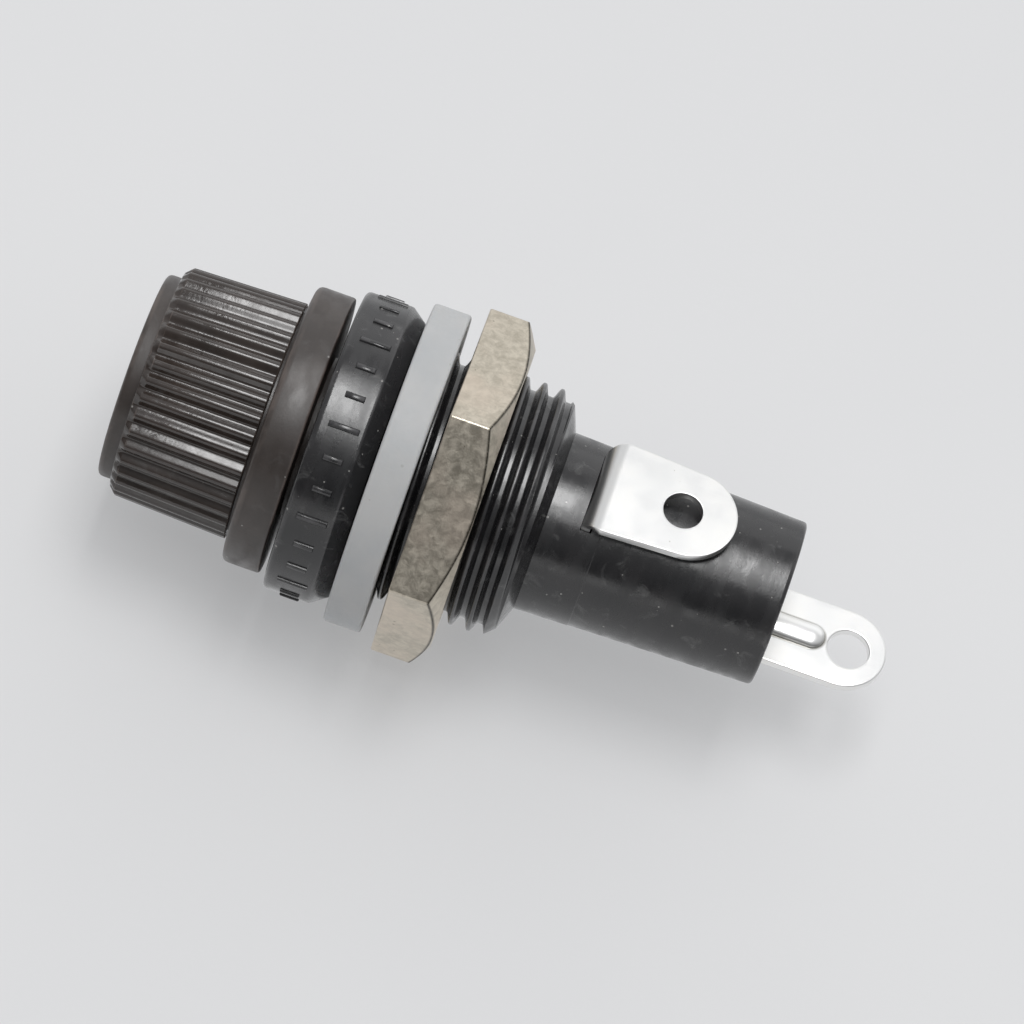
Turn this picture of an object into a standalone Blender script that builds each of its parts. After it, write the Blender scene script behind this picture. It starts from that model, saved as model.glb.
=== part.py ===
"""Panel-mount holder for a cartridge fuse, closed by a ribbed screw cap.

Metres. +X runs along the holder's axis from the cap to the solder terminals, and +Z points to the side
terminal. The origin is on the axis, in the plane where the flange seats on its washer.
Sizes grow outwards from the fuse: clip, cap spigot, body, nut and washer each take their place from the
piece inside them and a wall or a clearance.
"""
from collections import namedtuple
from math import atan2, ceil, cos, floor, hypot, pi, radians, sin, sqrt, tan, tau

import bmesh
import bpy
from mathutils import Matrix

# The fuse that the holder is made for
FUSE_DIAMETER = 0.0052
FUSE_LENGTH = 0.020
SPRING_PRESS = 0.0013          # how far a fuse pushes the plunger back

# Fits
SEAT_GAP = 0.00005             # between pieces that seat on each other
SLIDING_FIT = 0.0001           # round a piece that slides or turns in another
THREAD_FIT = 0.00009           # between the crests of one thread and the roots of its mate
THREAD_SIDE_PLAY = 0.00003     # added to each flank of a nut's thread

# Roundness
SEGMENTS = 36                  # sides of a turned piece
RIVET_SEGMENTS = 20            # sides of a rivet, or of a hole that takes a wire or a rivet
END_STEPS = 11                 # steps round a terminal's half-round end
SMOOTH_BELOW = radians(32.0)   # edges flatter than this are shaded smooth

# Slit clip that grips the fuse
CLIP_SHEET = 0.00035
CLIP_EASE = 0.00025            # between the fuse and the clip's straight part
CLIP_MOUTH_FLARE = 0.0006
CLIP_WAIST_BEFORE_MOUTH = 0.0026
CLIP_SLIT = 0.0005
CLIP_SLIT_LENGTH = 0.0085
RIVET_EDGE = 0.00015           # rounding of a rivet's head

# Rivet that fixes the clip in the cap
CLIP_RIVET_HEAD_RADIUS = 0.0017
CLIP_RIVET_HEAD = 0.0004
CLIP_RIVET_SHANK_RADIUS = 0.0008
CLIP_RIVET_SHANK_LENGTH = 0.003

# Screw cap
CAP_GAP = 0.0004               # the cap is not fully tightened
SKIRT_LENGTH = 0.00215
SKIRT_OVER_RIBS = 0.00114
SKIRT_ROUNDING = 0.00045
SKIRT_EDGE = 0.00015
RELIEF_LENGTH = 0.0002         # groove between the ribs and the skirt
RELIEF_DEPTH = 0.0005
RIB_COUNT = 40
RIB_LENGTH = 0.0067
RIB_DEPTH = 0.00034
RIB_DRAFT = 0.00022            # how much the ribbed grip widens towards the skirt
RIB_CHAMFER = 0.00035
RIB_TOP_SHARE = 0.24           # of the space from one rib to the next
GROOVE_FLOOR_SHARE = 0.08
GRIP_OVER_SPIGOT = 0.00166     # the ribs' radius at the skirt, beyond the spigot's thread
COLLAR_LENGTH = 0.00086
COLLAR_BELOW_RIBS = 0.00074
COLLAR_ROUNDING = 0.0003
SPIGOT_LENGTH = 0.00655
SPIGOT_WALL = 0.0012
SPIGOT_NECK = 0.0007           # plain length between the skirt and the thread
SPIGOT_LEAD = 0.0006
CAP_THREAD_PITCH = 0.0015
CAP_THREAD_DEPTH = 0.0005
CAP_FLOOR_PAST_SKIRT = 0.0005

# Moulded body
FLANGE_THICKNESS = 0.00355
FLANGE_OVERHANG = 0.00145      # beyond the panel thread
FLANGE_ROUNDING = 0.0003
FLANGE_REAR_CHAMFER = 0.0009
FLANGE_REAR_DROP = 0.00065
MOUTH_CHAMFER = 0.00035
BODY_WALL = 0.00126            # between the cap's thread and the panel thread
PANEL_THREAD_PITCH = 0.001
PANEL_THREAD_DEPTH = 0.0006
PANEL_THREAD_LENGTH = 0.00895
PANEL_THREAD_LEAD = 0.00065
SHOULDER_LENGTH = 0.00055
NECK_LENGTH = 0.0019           # from the shoulder to the side terminal
NECK_WALL = 0.00078
TAIL_DRAFT = 0.0004
TAIL_EASE = 0.0006             # between the fuse and the tail's bore
TAIL_EDGE = 0.0002
END_WALL = 0.0012
END_RECESS = 0.0013            # depth of the hollow in the tail's end, where the end terminal's foot lies
END_FOOT_EASE = 0.0002         # between the foot's corners and the hollow

# Sleeve in which the clip slides
SLEEVE_LENGTH = 0.00435
SLEEVE_WALL = 0.00045
SLEEVE_RIM = 0.00035
SLEEVE_LEAD = 0.0003           # opened out to guide the clip in
CONTACT_OVERLAP = 0.0026       # how far the clip's mouth reaches into the sleeve

# Solder terminals, cut from strip and bent
STRIP = 0.0005
BEND_RADIUS = 0.00025
BEND_STEPS = 5
SIDE_LUG_LENGTH = 0.00775
SIDE_LUG_TAPER = 0.00045       # how much narrower the lug is at its tip
SIDE_LUG_RISE = 0.0002         # above the body's neck
SIDE_HOLE_RADIUS = 0.00107
SIDE_HOLE_FROM_TIP = 0.00295
END_LUG_WIDTH = 0.0047
END_LUG_LENGTH = 0.0078
END_LUG_OFFSET = 0.0023        # from the axis to the middle of the lug
END_HOLE_RADIUS = 0.00115
END_HOLE_FROM_TIP = 0.0021
BEAD_TO_HOLE = 0.0002
BEAD_SLENDERNESS = 2.7         # the bead's length over its width
BEAD_HEIGHT = 0.0004

# Contact at the end of the tail
PLUNGER_SHEET = 0.0004
PLUNGER_ROUNDING = 0.0003
PLUNGER_EASE = 0.0003          # between the plunger and the tail's bore
PLUNGER_LENGTH = 0.0016
SPRING_LENGTH = 0.0042
SPRING_WIRE = 0.0004
SPRING_TURNS = 5
SPRING_CLOSED_PITCH = 0.00046  # of the first and the last turn
SPRING_STEPS = 12              # round one turn
WIRE_SIDES = 6
SPRING_EASE = 0.0002           # between the spring and the plunger's inside
END_RIVET_SHANK_RADIUS = 0.001
END_RIVET_INNER_HEAD = 0.00045
END_RIVET_OUTER_HEAD = 0.0006
END_RIVET_OUTER_RADIUS = 0.0014

# Washer and nut on the panel thread
WASHER_SEAT_GAP = 0.0001
WASHER_THICKNESS = 0.0021
WASHER_WIDTH = 0.0019
WASHER_EDGE = 0.00012
WASHER_FIT = 0.00015
PANEL_SPACE = 0.0008           # left between the washer and the nut
NUT_THICKNESS = 0.003
NUT_WALL = 0.00146             # from the thread to a flat
NUT_CHAMFER_ANGLE = radians(30.0)
NUT_CHAMFER_INSET = 0.0001
NUT_COUNTERSINK = 0.0002
NUT_TURNED = radians(40.0)     # where one corner points, from +Y towards +Z

Thread = namedtuple("Thread", "root crest pitch")

# Radii, from the fuse outwards
FUSE_RADIUS = FUSE_DIAMETER / 2
CLIP_RADIUS = FUSE_RADIUS + CLIP_EASE + CLIP_SHEET
CLIP_PASSAGE = CLIP_RADIUS + SLIDING_FIT
SPIGOT_ROOT = CLIP_PASSAGE + SPIGOT_WALL
CAP_THREAD = Thread(SPIGOT_ROOT, SPIGOT_ROOT + CAP_THREAD_DEPTH, CAP_THREAD_PITCH)
PANEL_ROOT = CAP_THREAD.crest + THREAD_FIT + BODY_WALL
PANEL_THREAD = Thread(PANEL_ROOT, PANEL_ROOT + PANEL_THREAD_DEPTH, PANEL_THREAD_PITCH)
FLANGE_RADIUS = PANEL_THREAD.crest + FLANGE_OVERHANG
GRIP_RADIUS = CAP_THREAD.crest + GRIP_OVER_SPIGOT
SKIRT_RADIUS = GRIP_RADIUS + SKIRT_OVER_RIBS
COLLAR_RADIUS = GRIP_RADIUS - RIB_DRAFT - COLLAR_BELOW_RIBS
SLEEVE_RADIUS = CLIP_PASSAGE + SLEEVE_WALL
SLEEVE_RIM_RADIUS = SLEEVE_RADIUS + SLEEVE_RIM
BORE_RADIUS = SLEEVE_RIM_RADIUS + SLIDING_FIT
NECK_RADIUS = BORE_RADIUS + NECK_WALL
TAIL_BORE_RADIUS = FUSE_RADIUS + TAIL_EASE
PLUNGER_RADIUS = TAIL_BORE_RADIUS - PLUNGER_EASE
SPRING_RADIUS = PLUNGER_RADIUS - PLUNGER_SHEET - SPRING_EASE - SPRING_WIRE / 2
NUT_THREAD_RADIUS = PANEL_THREAD.crest + THREAD_FIT
NUT_PASSAGE = PANEL_THREAD.root + THREAD_FIT
BEND_LENGTH = (BEND_RADIUS + STRIP / 2) * pi / 2

# Places along the axis
FLANGE_FRONT = -FLANGE_THICKNESS
SKIRT_REAR = FLANGE_FRONT - CAP_GAP
SKIRT_FRONT = SKIRT_REAR - SKIRT_LENGTH
RIBS_REAR = SKIRT_FRONT - RELIEF_LENGTH
RIBS_FRONT = RIBS_REAR - RIB_LENGTH
CAP_FRONT = RIBS_FRONT - COLLAR_LENGTH
SPIGOT_END = SKIRT_REAR + SPIGOT_LENGTH
CAP_FLOOR = SKIRT_REAR - CAP_FLOOR_PAST_SKIRT
CAP_BORE_END = SPIGOT_END + CAP_GAP + SLIDING_FIT
SHOULDER_END = PANEL_THREAD_LENGTH + SHOULDER_LENGTH
SIDE_TERMINAL = SHOULDER_END + NECK_LENGTH
BORE_END = SIDE_TERMINAL + STRIP + SEAT_GAP
SLEEVE_FRONT = SIDE_TERMINAL - SEAT_GAP - SLEEVE_LENGTH
CLIP_FRONT = CAP_FLOOR + SEAT_GAP
CLIP_MOUTH = SLEEVE_FRONT + CONTACT_OVERLAP
CLIP_RIVET_SEAT = CLIP_FRONT + CLIP_SHEET + SEAT_GAP
FUSE_FRONT = CLIP_RIVET_SEAT + CLIP_RIVET_HEAD
PLUNGER_FACE = FUSE_FRONT + FUSE_LENGTH - SPRING_PRESS
SPRING_FRONT = PLUNGER_FACE + PLUNGER_SHEET + SEAT_GAP
END_RIVET_FRONT = SPRING_FRONT + SPRING_LENGTH + SEAT_GAP
TAIL_BORE_END = END_RIVET_FRONT + END_RIVET_INNER_HEAD + SEAT_GAP
FOOT_SEAT = TAIL_BORE_END + END_WALL
TAIL_END = FOOT_SEAT + END_RECESS
END_TERMINAL = FOOT_SEAT + SEAT_GAP
WASHER_FRONT = WASHER_SEAT_GAP
NUT_FRONT = WASHER_FRONT + WASHER_THICKNESS + PANEL_SPACE


def material(name, colour, roughness, metallic):
    """A plain Principled finish, made once for each name."""
    finish = bpy.data.materials.get(name)
    if finish is None:
        finish = bpy.data.materials.new(name)
        finish.use_nodes = True
        shader = finish.node_tree.nodes["Principled BSDF"]
        shader.inputs["Base Color"].default_value = (*colour, 1.0)
        shader.inputs["Roughness"].default_value = roughness
        shader.inputs["Metallic"].default_value = metallic
        finish.diffuse_color = (*colour, 1.0)
    return finish


def black_moulding():
    return material("black_moulding", (0.030, 0.028, 0.028), 0.38, 0.0)


def tinned_brass():
    return material("tinned_brass", (0.78, 0.77, 0.74), 0.28, 1.0)


def plated_steel():
    return material("plated_steel", (0.66, 0.61, 0.52), 0.34, 1.0)


def bare_brass():
    return material("bare_brass", (0.72, 0.56, 0.30), 0.30, 1.0)


def pale_rubber():
    return material("pale_rubber", (0.62, 0.65, 0.66), 0.55, 0.0)


def angle_of(vertex):
    return atan2(vertex.co.z, vertex.co.y) % tau


def stitch(bm, near, far):
    """Joins two rings, with triangles where they have different numbers of points."""
    if len(near) == len(far):
        for k in range(len(near)):
            bm.faces.new((near[k - 1], near[k], far[k], far[k - 1]))
        return
    if 1 in (len(near), len(far)):
        pole, ring = (near[0], far) if len(near) == 1 else (far[0], near)
        for k in range(len(ring)):
            bm.faces.new((ring[k - 1], ring[k], pole))
        return

    def turned_to(ring, k):
        return angle_of(ring[k % len(ring)]) + tau * (k // len(ring))

    i = j = 0
    while i < len(near) or j < len(far):
        here_near, here_far = near[i % len(near)], far[j % len(far)]
        if j == len(far) or (i < len(near) and turned_to(near, i + 1) <= turned_to(far, j + 1)):
            i += 1
            bm.faces.new((here_near, near[i % len(near)], here_far))
        else:
            j += 1
            bm.faces.new((here_near, far[j % len(far)], here_far))


def thread_section(thread, fit, side_play):
    """One ridge of a thread as four corners, each its distance from the ridge's middle and its radius.

    The crest is an eighth of the pitch wide and the root a quarter, as on a metric thread. A nut's thread
    is the same ridge, grown by the fit and the side play, as a hollow."""
    half_crest = thread.pitch / 16 + side_play
    half_base = thread.pitch * 3 / 8 + side_play
    return ((-half_base, thread.root + fit), (-half_crest, thread.crest + fit),
            (half_crest, thread.crest + fit), (half_base, thread.root + fit))


def thread_column(section, pitch, shift, start, end, ceiling):
    """The section's numbered points along one column, and the radii where both end planes cut it."""
    corners = len(section)
    points = []
    for turn in range(floor((start - shift) / pitch) - 1, ceil((end - shift) / pitch) + 2):
        for corner, (offset, radius) in enumerate(section):
            points.append((corners * turn + corner, shift + turn * pitch + offset, radius))
    margin = pitch / 200
    inside = {index: (x, min(radius, ceiling(x))) for index, x, radius in points
              if start + margin < x < end - margin}

    def cut(plane):
        for (_, x0, r0), (_, x1, r1) in zip(points, points[1:]):
            if x0 <= plane <= x1:
                return min(r0 + (r1 - r0) * (plane - x0) / (x1 - x0), ceiling(plane))

    return inside, cut(start), cut(end)


def threaded_wall(bm, thread, start, end, datum, fit=0.0, side_play=0.0, ceiling=None):
    """Adds a screw thread's wall between two planes and returns its front and rear rings.

    A ridge crosses the plane x = datum at angle 0. Each column is the thread's section moved along by the
    column's share of the pitch, so the columns together are a right-hand helix, cut flat at both ends."""
    section = thread_section(thread, fit, side_play)
    ceiling = ceiling or (lambda x: thread.crest + fit)
    columns, front, rear = [], [], []
    for k in range(SEGMENTS):
        across, up = cos(tau * k / SEGMENTS), sin(tau * k / SEGMENTS)
        shift = datum + thread.pitch * k / SEGMENTS
        inside, at_start, at_end = thread_column(section, thread.pitch, shift, start, end, ceiling)
        columns.append({index: bm.verts.new((x, r * across, r * up)) for index, (x, r) in inside.items()})
        front.append(bm.verts.new((start, at_start * across, at_start * up)))
        rear.append(bm.verts.new((end, at_end * across, at_end * up)))
    for k in range(SEGMENTS):
        # One turn on, the same ridge carries the next turn's numbers.
        back = len(section) if k == 0 else 0
        left = columns[k - 1]
        right = {index - back: vertex for index, vertex in columns[k].items()}
        low, high = max(min(left), min(right)), min(max(left), max(right))
        for index in range(low, high):
            bm.faces.new((left[index], left[index + 1], right[index + 1], right[index]))
        bm.faces.new([front[k - 1]] + [left[i] for i in range(min(left), low + 1)]
                     + [right[i] for i in range(low, min(right) - 1, -1)] + [front[k]])
        bm.faces.new([left[i] for i in range(high, max(left) + 1)] + [rear[k - 1], rear[k]]
                     + [right[i] for i in range(max(right), high - 1, -1)])
    return front, rear


class Turned:
    """A solid turned about the X axis, drawn as one closed profile of rings."""

    def __init__(self, segments=SEGMENTS):
        self.bm = bmesh.new()
        self.segments = segments
        self.first = self.last = None

    def add(self, ring, leave_from=None):
        """Joins a ring to the one before; leave_from is where the profile goes on from."""
        if self.last is None:
            self.first = ring
        else:
            stitch(self.bm, self.last, ring)
        self.last = leave_from or ring

    def pole(self, x):
        self.add([self.bm.verts.new((x, 0.0, 0.0))])

    def ring(self, x, radius):
        turns = [tau * k / self.segments for k in range(self.segments)]
        self.add([self.bm.verts.new((x, radius * cos(a), radius * sin(a))) for a in turns])

    def rings(self, *points):
        for x, radius in points:
            self.ring(x, radius)

    def rounded_front(self, x, radius, rounding):
        """A rim's front edge, rounded from the face at x out to the radius."""
        for a in (0.0, pi / 4, pi / 2):
            self.ring(x + rounding * (1 - cos(a)), radius - rounding * (1 - sin(a)))

    def ribbed_ring(self, x, top, floor_radius):
        """Flat-topped ribs with sloping sides, as in a moulded grip."""
        shares = ((GROOVE_FLOOR_SHARE / 2, floor_radius), (0.5 - RIB_TOP_SHARE / 2, top),
                  (0.5 + RIB_TOP_SHARE / 2, top), (1.0 - GROOVE_FLOOR_SHARE / 2, floor_radius))
        points = [(tau * (k + share) / RIB_COUNT, radius)
                  for k in range(RIB_COUNT) for share, radius in shares]
        self.add([self.bm.verts.new((x, radius * cos(a), radius * sin(a))) for a, radius in points])

    def thread(self, thread, start, end, datum, towards_front=False, **fits):
        front, rear = threaded_wall(self.bm, thread, start, end, datum, **fits)
        if towards_front:
            self.add(rear, leave_from=front)
        else:
            self.add(front, leave_from=rear)

    def finish(self, name, finish, closed_loop=True):
        """Closes a hollow piece's profile on itself; a piece that ends in poles is closed already."""
        if closed_loop:
            stitch(self.bm, self.last, self.first)
        return solid(name, self.bm, finish)


def solid(name, bm, finish):
    """Turns a closed mesh into a named object with its faces pointing out."""
    bmesh.ops.recalc_face_normals(bm, faces=bm.faces[:])
    if bm.calc_volume(signed=True) < 0.0:
        bmesh.ops.reverse_faces(bm, faces=bm.faces[:])
    mesh = bpy.data.meshes.new(name)
    bm.to_mesh(mesh)
    bm.free()
    mesh.materials.append(finish)
    mesh.shade_smooth()
    made = bpy.data.objects.new(name, mesh)
    bpy.context.scene.collection.objects.link(made)
    return made


def box_cutter(name, low, high):
    bm = bmesh.new()
    size = [b - a for a, b in zip(low, high)]
    middle = [(a + b) / 2 for a, b in zip(low, high)]
    bmesh.ops.create_cube(bm, size=1.0, matrix=Matrix.LocRotScale(middle, None, size))
    return as_cutter(solid(name, bm, black_moulding()))


def as_cutter(tool):
    tool.hide_render = True
    tool.display_type = "WIRE"
    return tool


def combine(target, tool, operation):
    """A live Boolean; the tool stays in the scene as a hidden guide and moves with its target."""
    step = target.modifiers.new(tool.name, "BOOLEAN")
    step.operation = operation
    step.object = as_cutter(tool)
    tool.parent = target


def holder_body():
    """Flange, panel thread, neck and tail; inside, the cap's thread and two bores, and a hollow end."""
    lead_start = PANEL_THREAD_LENGTH - PANEL_THREAD_LEAD

    def lead(x):
        past = max(0.0, x - lead_start) / PANEL_THREAD_LEAD
        return PANEL_THREAD.crest - past * PANEL_THREAD_DEPTH

    mouth = CAP_THREAD.crest + 2 * THREAD_FIT
    thread_start = FLANGE_FRONT + MOUTH_CHAMFER
    rivet_hole = END_RIVET_SHANK_RADIUS + SEAT_GAP
    recess = hypot(END_LUG_WIDTH / 2, END_LUG_OFFSET + STRIP / 2) + END_FOOT_EASE
    body = Turned()
    body.ring(FLANGE_FRONT, mouth + MOUTH_CHAMFER)
    body.rounded_front(FLANGE_FRONT, FLANGE_RADIUS, FLANGE_ROUNDING)
    body.rings((-FLANGE_REAR_CHAMFER, FLANGE_RADIUS),
               (0.0, FLANGE_RADIUS - FLANGE_REAR_DROP))
    body.thread(PANEL_THREAD, 0.0, PANEL_THREAD_LENGTH, 0.0, ceiling=lead)
    body.rings((SHOULDER_END, NECK_RADIUS),
               (TAIL_END - TAIL_EDGE, NECK_RADIUS - TAIL_DRAFT),
               (TAIL_END, NECK_RADIUS - TAIL_DRAFT - TAIL_EDGE),
               (TAIL_END, recess),
               (FOOT_SEAT, recess),
               (FOOT_SEAT, rivet_hole),
               (TAIL_BORE_END, rivet_hole),
               (TAIL_BORE_END, TAIL_BORE_RADIUS),
               (BORE_END, TAIL_BORE_RADIUS),
               (BORE_END, BORE_RADIUS),
               (CAP_BORE_END, BORE_RADIUS))
    body.thread(CAP_THREAD, thread_start, CAP_BORE_END, SKIRT_REAR, towards_front=True,
                fit=THREAD_FIT, side_play=THREAD_SIDE_PLAY)
    body.ring(thread_start, mouth)
    made = body.finish("holder_body", black_moulding())

    half_slot = side_lug_width() / 2 + SLIDING_FIT
    slot = box_cutter("terminal_slot",
                      (SIDE_TERMINAL - SLIDING_FIT, -half_slot, 0.0),
                      (SIDE_TERMINAL + STRIP + SLIDING_FIT, half_slot, NECK_RADIUS + NECK_WALL))
    combine(made, slot, "DIFFERENCE")
    return made


def screw_cap():
    """Ribbed grip and skirt with a threaded spigot, bored for the clip; its X starts at the skirt's rear."""
    lead_start = SPIGOT_END - SPIGOT_LEAD

    def lead(x):
        past = max(0.0, x + SKIRT_REAR - lead_start) / SPIGOT_LEAD
        return CAP_THREAD.crest - past * CAP_THREAD_DEPTH

    grip_front = GRIP_RADIUS - RIB_DRAFT
    tip, floor_at = SPIGOT_LENGTH, CAP_FLOOR - SKIRT_REAR
    front, ribs_front = CAP_FRONT - SKIRT_REAR, RIBS_FRONT - SKIRT_REAR
    ribs_rear, skirt_front = RIBS_REAR - SKIRT_REAR, SKIRT_FRONT - SKIRT_REAR
    neck = CAP_THREAD.root - SEAT_GAP
    rivet_hole = CLIP_RIVET_SHANK_RADIUS + SEAT_GAP
    hole_end = floor_at - CLIP_RIVET_SHANK_LENGTH - SLIDING_FIT
    cap = Turned()
    cap.pole(front)
    cap.rounded_front(front, COLLAR_RADIUS, COLLAR_ROUNDING)
    cap.ring(ribs_front, COLLAR_RADIUS)
    cap.ribbed_ring(ribs_front, grip_front - RIB_CHAMFER, grip_front - RIB_CHAMFER)
    cap.ribbed_ring(ribs_front + RIB_CHAMFER, grip_front, grip_front - RIB_DEPTH)
    cap.ribbed_ring(ribs_rear, GRIP_RADIUS, GRIP_RADIUS - RIB_DEPTH)
    cap.rings((ribs_rear, GRIP_RADIUS - RELIEF_DEPTH),
              (skirt_front, GRIP_RADIUS - RELIEF_DEPTH))
    cap.rounded_front(skirt_front, SKIRT_RADIUS, SKIRT_ROUNDING)
    cap.rings((-SKIRT_EDGE, SKIRT_RADIUS),
              (0.0, SKIRT_RADIUS - SKIRT_EDGE),
              (0.0, neck),
              (SPIGOT_NECK, neck))
    cap.thread(CAP_THREAD, SPIGOT_NECK, tip - SLIDING_FIT, 0.0, ceiling=lead)
    cap.rings((tip, CAP_THREAD.root - 2 * SLIDING_FIT),
              (tip, CLIP_PASSAGE + SLIDING_FIT),
              (tip - SLIDING_FIT, CLIP_PASSAGE),
              (floor_at, CLIP_PASSAGE),
              (floor_at, rivet_hole),
              (hole_end, rivet_hole))
    cap.pole(hole_end)
    made = cap.finish("screw_cap", black_moulding(), closed_loop=False)
    made.location.x = SKIRT_REAR
    return made


def fuse_clip():
    """Drawn tube with a pierced floor, slit from its mouth into four fingers that pinch the fuse."""
    mouth = CLIP_MOUTH - CLIP_FRONT
    waist = mouth - CLIP_WAIST_BEFORE_MOUTH
    pinched = FUSE_RADIUS + CLIP_SHEET
    hole = CLIP_RIVET_SHANK_RADIUS + SEAT_GAP
    outside = ((0.0, CLIP_RADIUS - CLIP_SHEET), (CLIP_SHEET, CLIP_RADIUS), (waist / 2, CLIP_RADIUS),
               (waist, pinched), (mouth - CLIP_MOUTH_FLARE, CLIP_RADIUS - CLIP_EASE / 2), (mouth, CLIP_RADIUS))
    clip = Turned()
    clip.ring(0.0, hole)
    clip.rings(*outside)
    clip.rings(*((x, radius - CLIP_SHEET) for x, radius in reversed(outside[2:])))
    clip.rings((CLIP_SHEET, CLIP_RADIUS - CLIP_SHEET), (CLIP_SHEET, hole))
    made = clip.finish("fuse_clip", bare_brass())
    made.location.x = CLIP_FRONT

    reach = CLIP_RADIUS + CLIP_SLIT
    for name, turned in (("slit_pair_a", pi / 4), ("slit_pair_b", 3 * pi / 4)):
        slit = box_cutter(name,
                          (mouth - CLIP_SLIT_LENGTH, -reach, -CLIP_SLIT / 2),
                          (mouth + CLIP_SLIT, reach, CLIP_SLIT / 2))
        slit.rotation_euler.x = turned
        combine(made, slit, "DIFFERENCE")
    return made


def rivet(name, heads, shank_radius, length, finish):
    """A rivet from its front head's seat; heads gives the radius and height of the front and rear head."""
    (front_radius, front_height), (rear_radius, rear_height) = heads
    made = Turned(RIVET_SEGMENTS)
    made.pole(-front_height)
    made.rings((-front_height, front_radius - RIVET_EDGE),
               (RIVET_EDGE - front_height, front_radius),
               (0.0, front_radius),
               (0.0, shank_radius),
               (length, shank_radius))
    if rear_height:
        for a in (0.0, pi / 6, pi / 3):
            made.ring(length + rear_height * sin(a), rear_radius * cos(a))
    made.pole(length + rear_height)
    return made.finish(name, finish, closed_loop=False)


def clip_rivet():
    """Driven into the cap through the clip's floor, so that the clip can swivel under its head."""
    length = CLIP_RIVET_SHANK_LENGTH + CLIP_SHEET + SEAT_GAP
    heads = ((CLIP_RIVET_HEAD_RADIUS, CLIP_RIVET_HEAD), (0.0, 0.0))
    made = rivet("clip_rivet", heads, CLIP_RIVET_SHANK_RADIUS, length, bare_brass())
    made.rotation_euler.z = pi
    made.location.x = CLIP_RIVET_SEAT
    return made


def end_rivet():
    """Holds the end terminal on the tail; its inner head carries the spring."""
    length = SEAT_GAP + END_WALL + SEAT_GAP + STRIP + SEAT_GAP
    heads = ((SPRING_RADIUS + SPRING_WIRE, END_RIVET_INNER_HEAD),
             (END_RIVET_OUTER_RADIUS, END_RIVET_OUTER_HEAD))
    made = rivet("end_rivet", heads, END_RIVET_SHANK_RADIUS, length, tinned_brass())
    made.location.x = END_RIVET_FRONT + END_RIVET_INNER_HEAD
    return made


def contact_sleeve():
    """Tube in which the clip's mouth slides; its rim bears on the side terminal's ring."""
    sleeve = Turned()
    sleeve.rings((0.0, CLIP_PASSAGE + SLIDING_FIT),
                 (0.0, SLEEVE_RADIUS),
                 (SLEEVE_LENGTH - SLEEVE_RIM, SLEEVE_RADIUS),
                 (SLEEVE_LENGTH - SLEEVE_RIM, SLEEVE_RIM_RADIUS),
                 (SLEEVE_LENGTH, SLEEVE_RIM_RADIUS),
                 (SLEEVE_LENGTH, CLIP_PASSAGE),
                 (SLEEVE_LEAD, CLIP_PASSAGE))
    made = sleeve.finish("contact_sleeve", bare_brass())
    made.location.x = SLEEVE_FRONT
    return made


def contact_plunger():
    """Shallow cup that the fuse's end cap meets, open at the rear for the spring."""
    inside = PLUNGER_RADIUS - PLUNGER_SHEET
    cup = Turned()
    cup.pole(0.0)
    cup.rounded_front(0.0, PLUNGER_RADIUS, PLUNGER_ROUNDING)
    cup.rings((PLUNGER_LENGTH, PLUNGER_RADIUS),
              (PLUNGER_LENGTH, inside),
              (PLUNGER_SHEET, inside))
    cup.pole(PLUNGER_SHEET)
    made = cup.finish("contact_plunger", tinned_brass(), closed_loop=False)
    made.location.x = PLUNGER_FACE
    return made


def contact_spring():
    """Compression spring with its first and last turn closed up, drawn as a round wire along a helix."""
    open_pitch = (SPRING_LENGTH - SPRING_WIRE - 2 * SPRING_CLOSED_PITCH) / (SPRING_TURNS - 2)
    bm = bmesh.new()
    last = None
    for k in range(SPRING_TURNS * SPRING_STEPS + 1):
        turn = k / SPRING_STEPS
        open_turns = min(max(turn - 1, 0), SPRING_TURNS - 2)
        along = SPRING_WIRE / 2 + SPRING_CLOSED_PITCH * (turn - open_turns) + open_pitch * open_turns
        across, up = cos(tau * turn), sin(tau * turn)
        ring = []
        for side in range(WIRE_SIDES):
            a = tau * side / WIRE_SIDES
            out = SPRING_RADIUS + SPRING_WIRE / 2 * cos(a)
            ring.append(bm.verts.new((along + SPRING_WIRE / 2 * sin(a), out * across, out * up)))
        if last:
            stitch(bm, last, ring)
        else:
            bm.faces.new(ring)
        last = ring
    bm.faces.new(last)
    made = solid("contact_spring", bm, plated_steel())
    made.location.x = SPRING_FRONT
    return made


def sealing_washer():
    """Flat soft ring between the flange and the panel, its outer edges broken."""
    inside = PANEL_THREAD.crest + WASHER_FIT
    outside = inside + WASHER_WIDTH
    ring = Turned()
    ring.rings((0.0, inside),
               (0.0, outside - WASHER_EDGE),
               (WASHER_EDGE, outside),
               (WASHER_THICKNESS - WASHER_EDGE, outside),
               (WASHER_THICKNESS, outside - WASHER_EDGE),
               (WASHER_THICKNESS, inside))
    made = ring.finish("sealing_washer", pale_rubber())
    made.location.x = WASHER_FRONT
    return made


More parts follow.
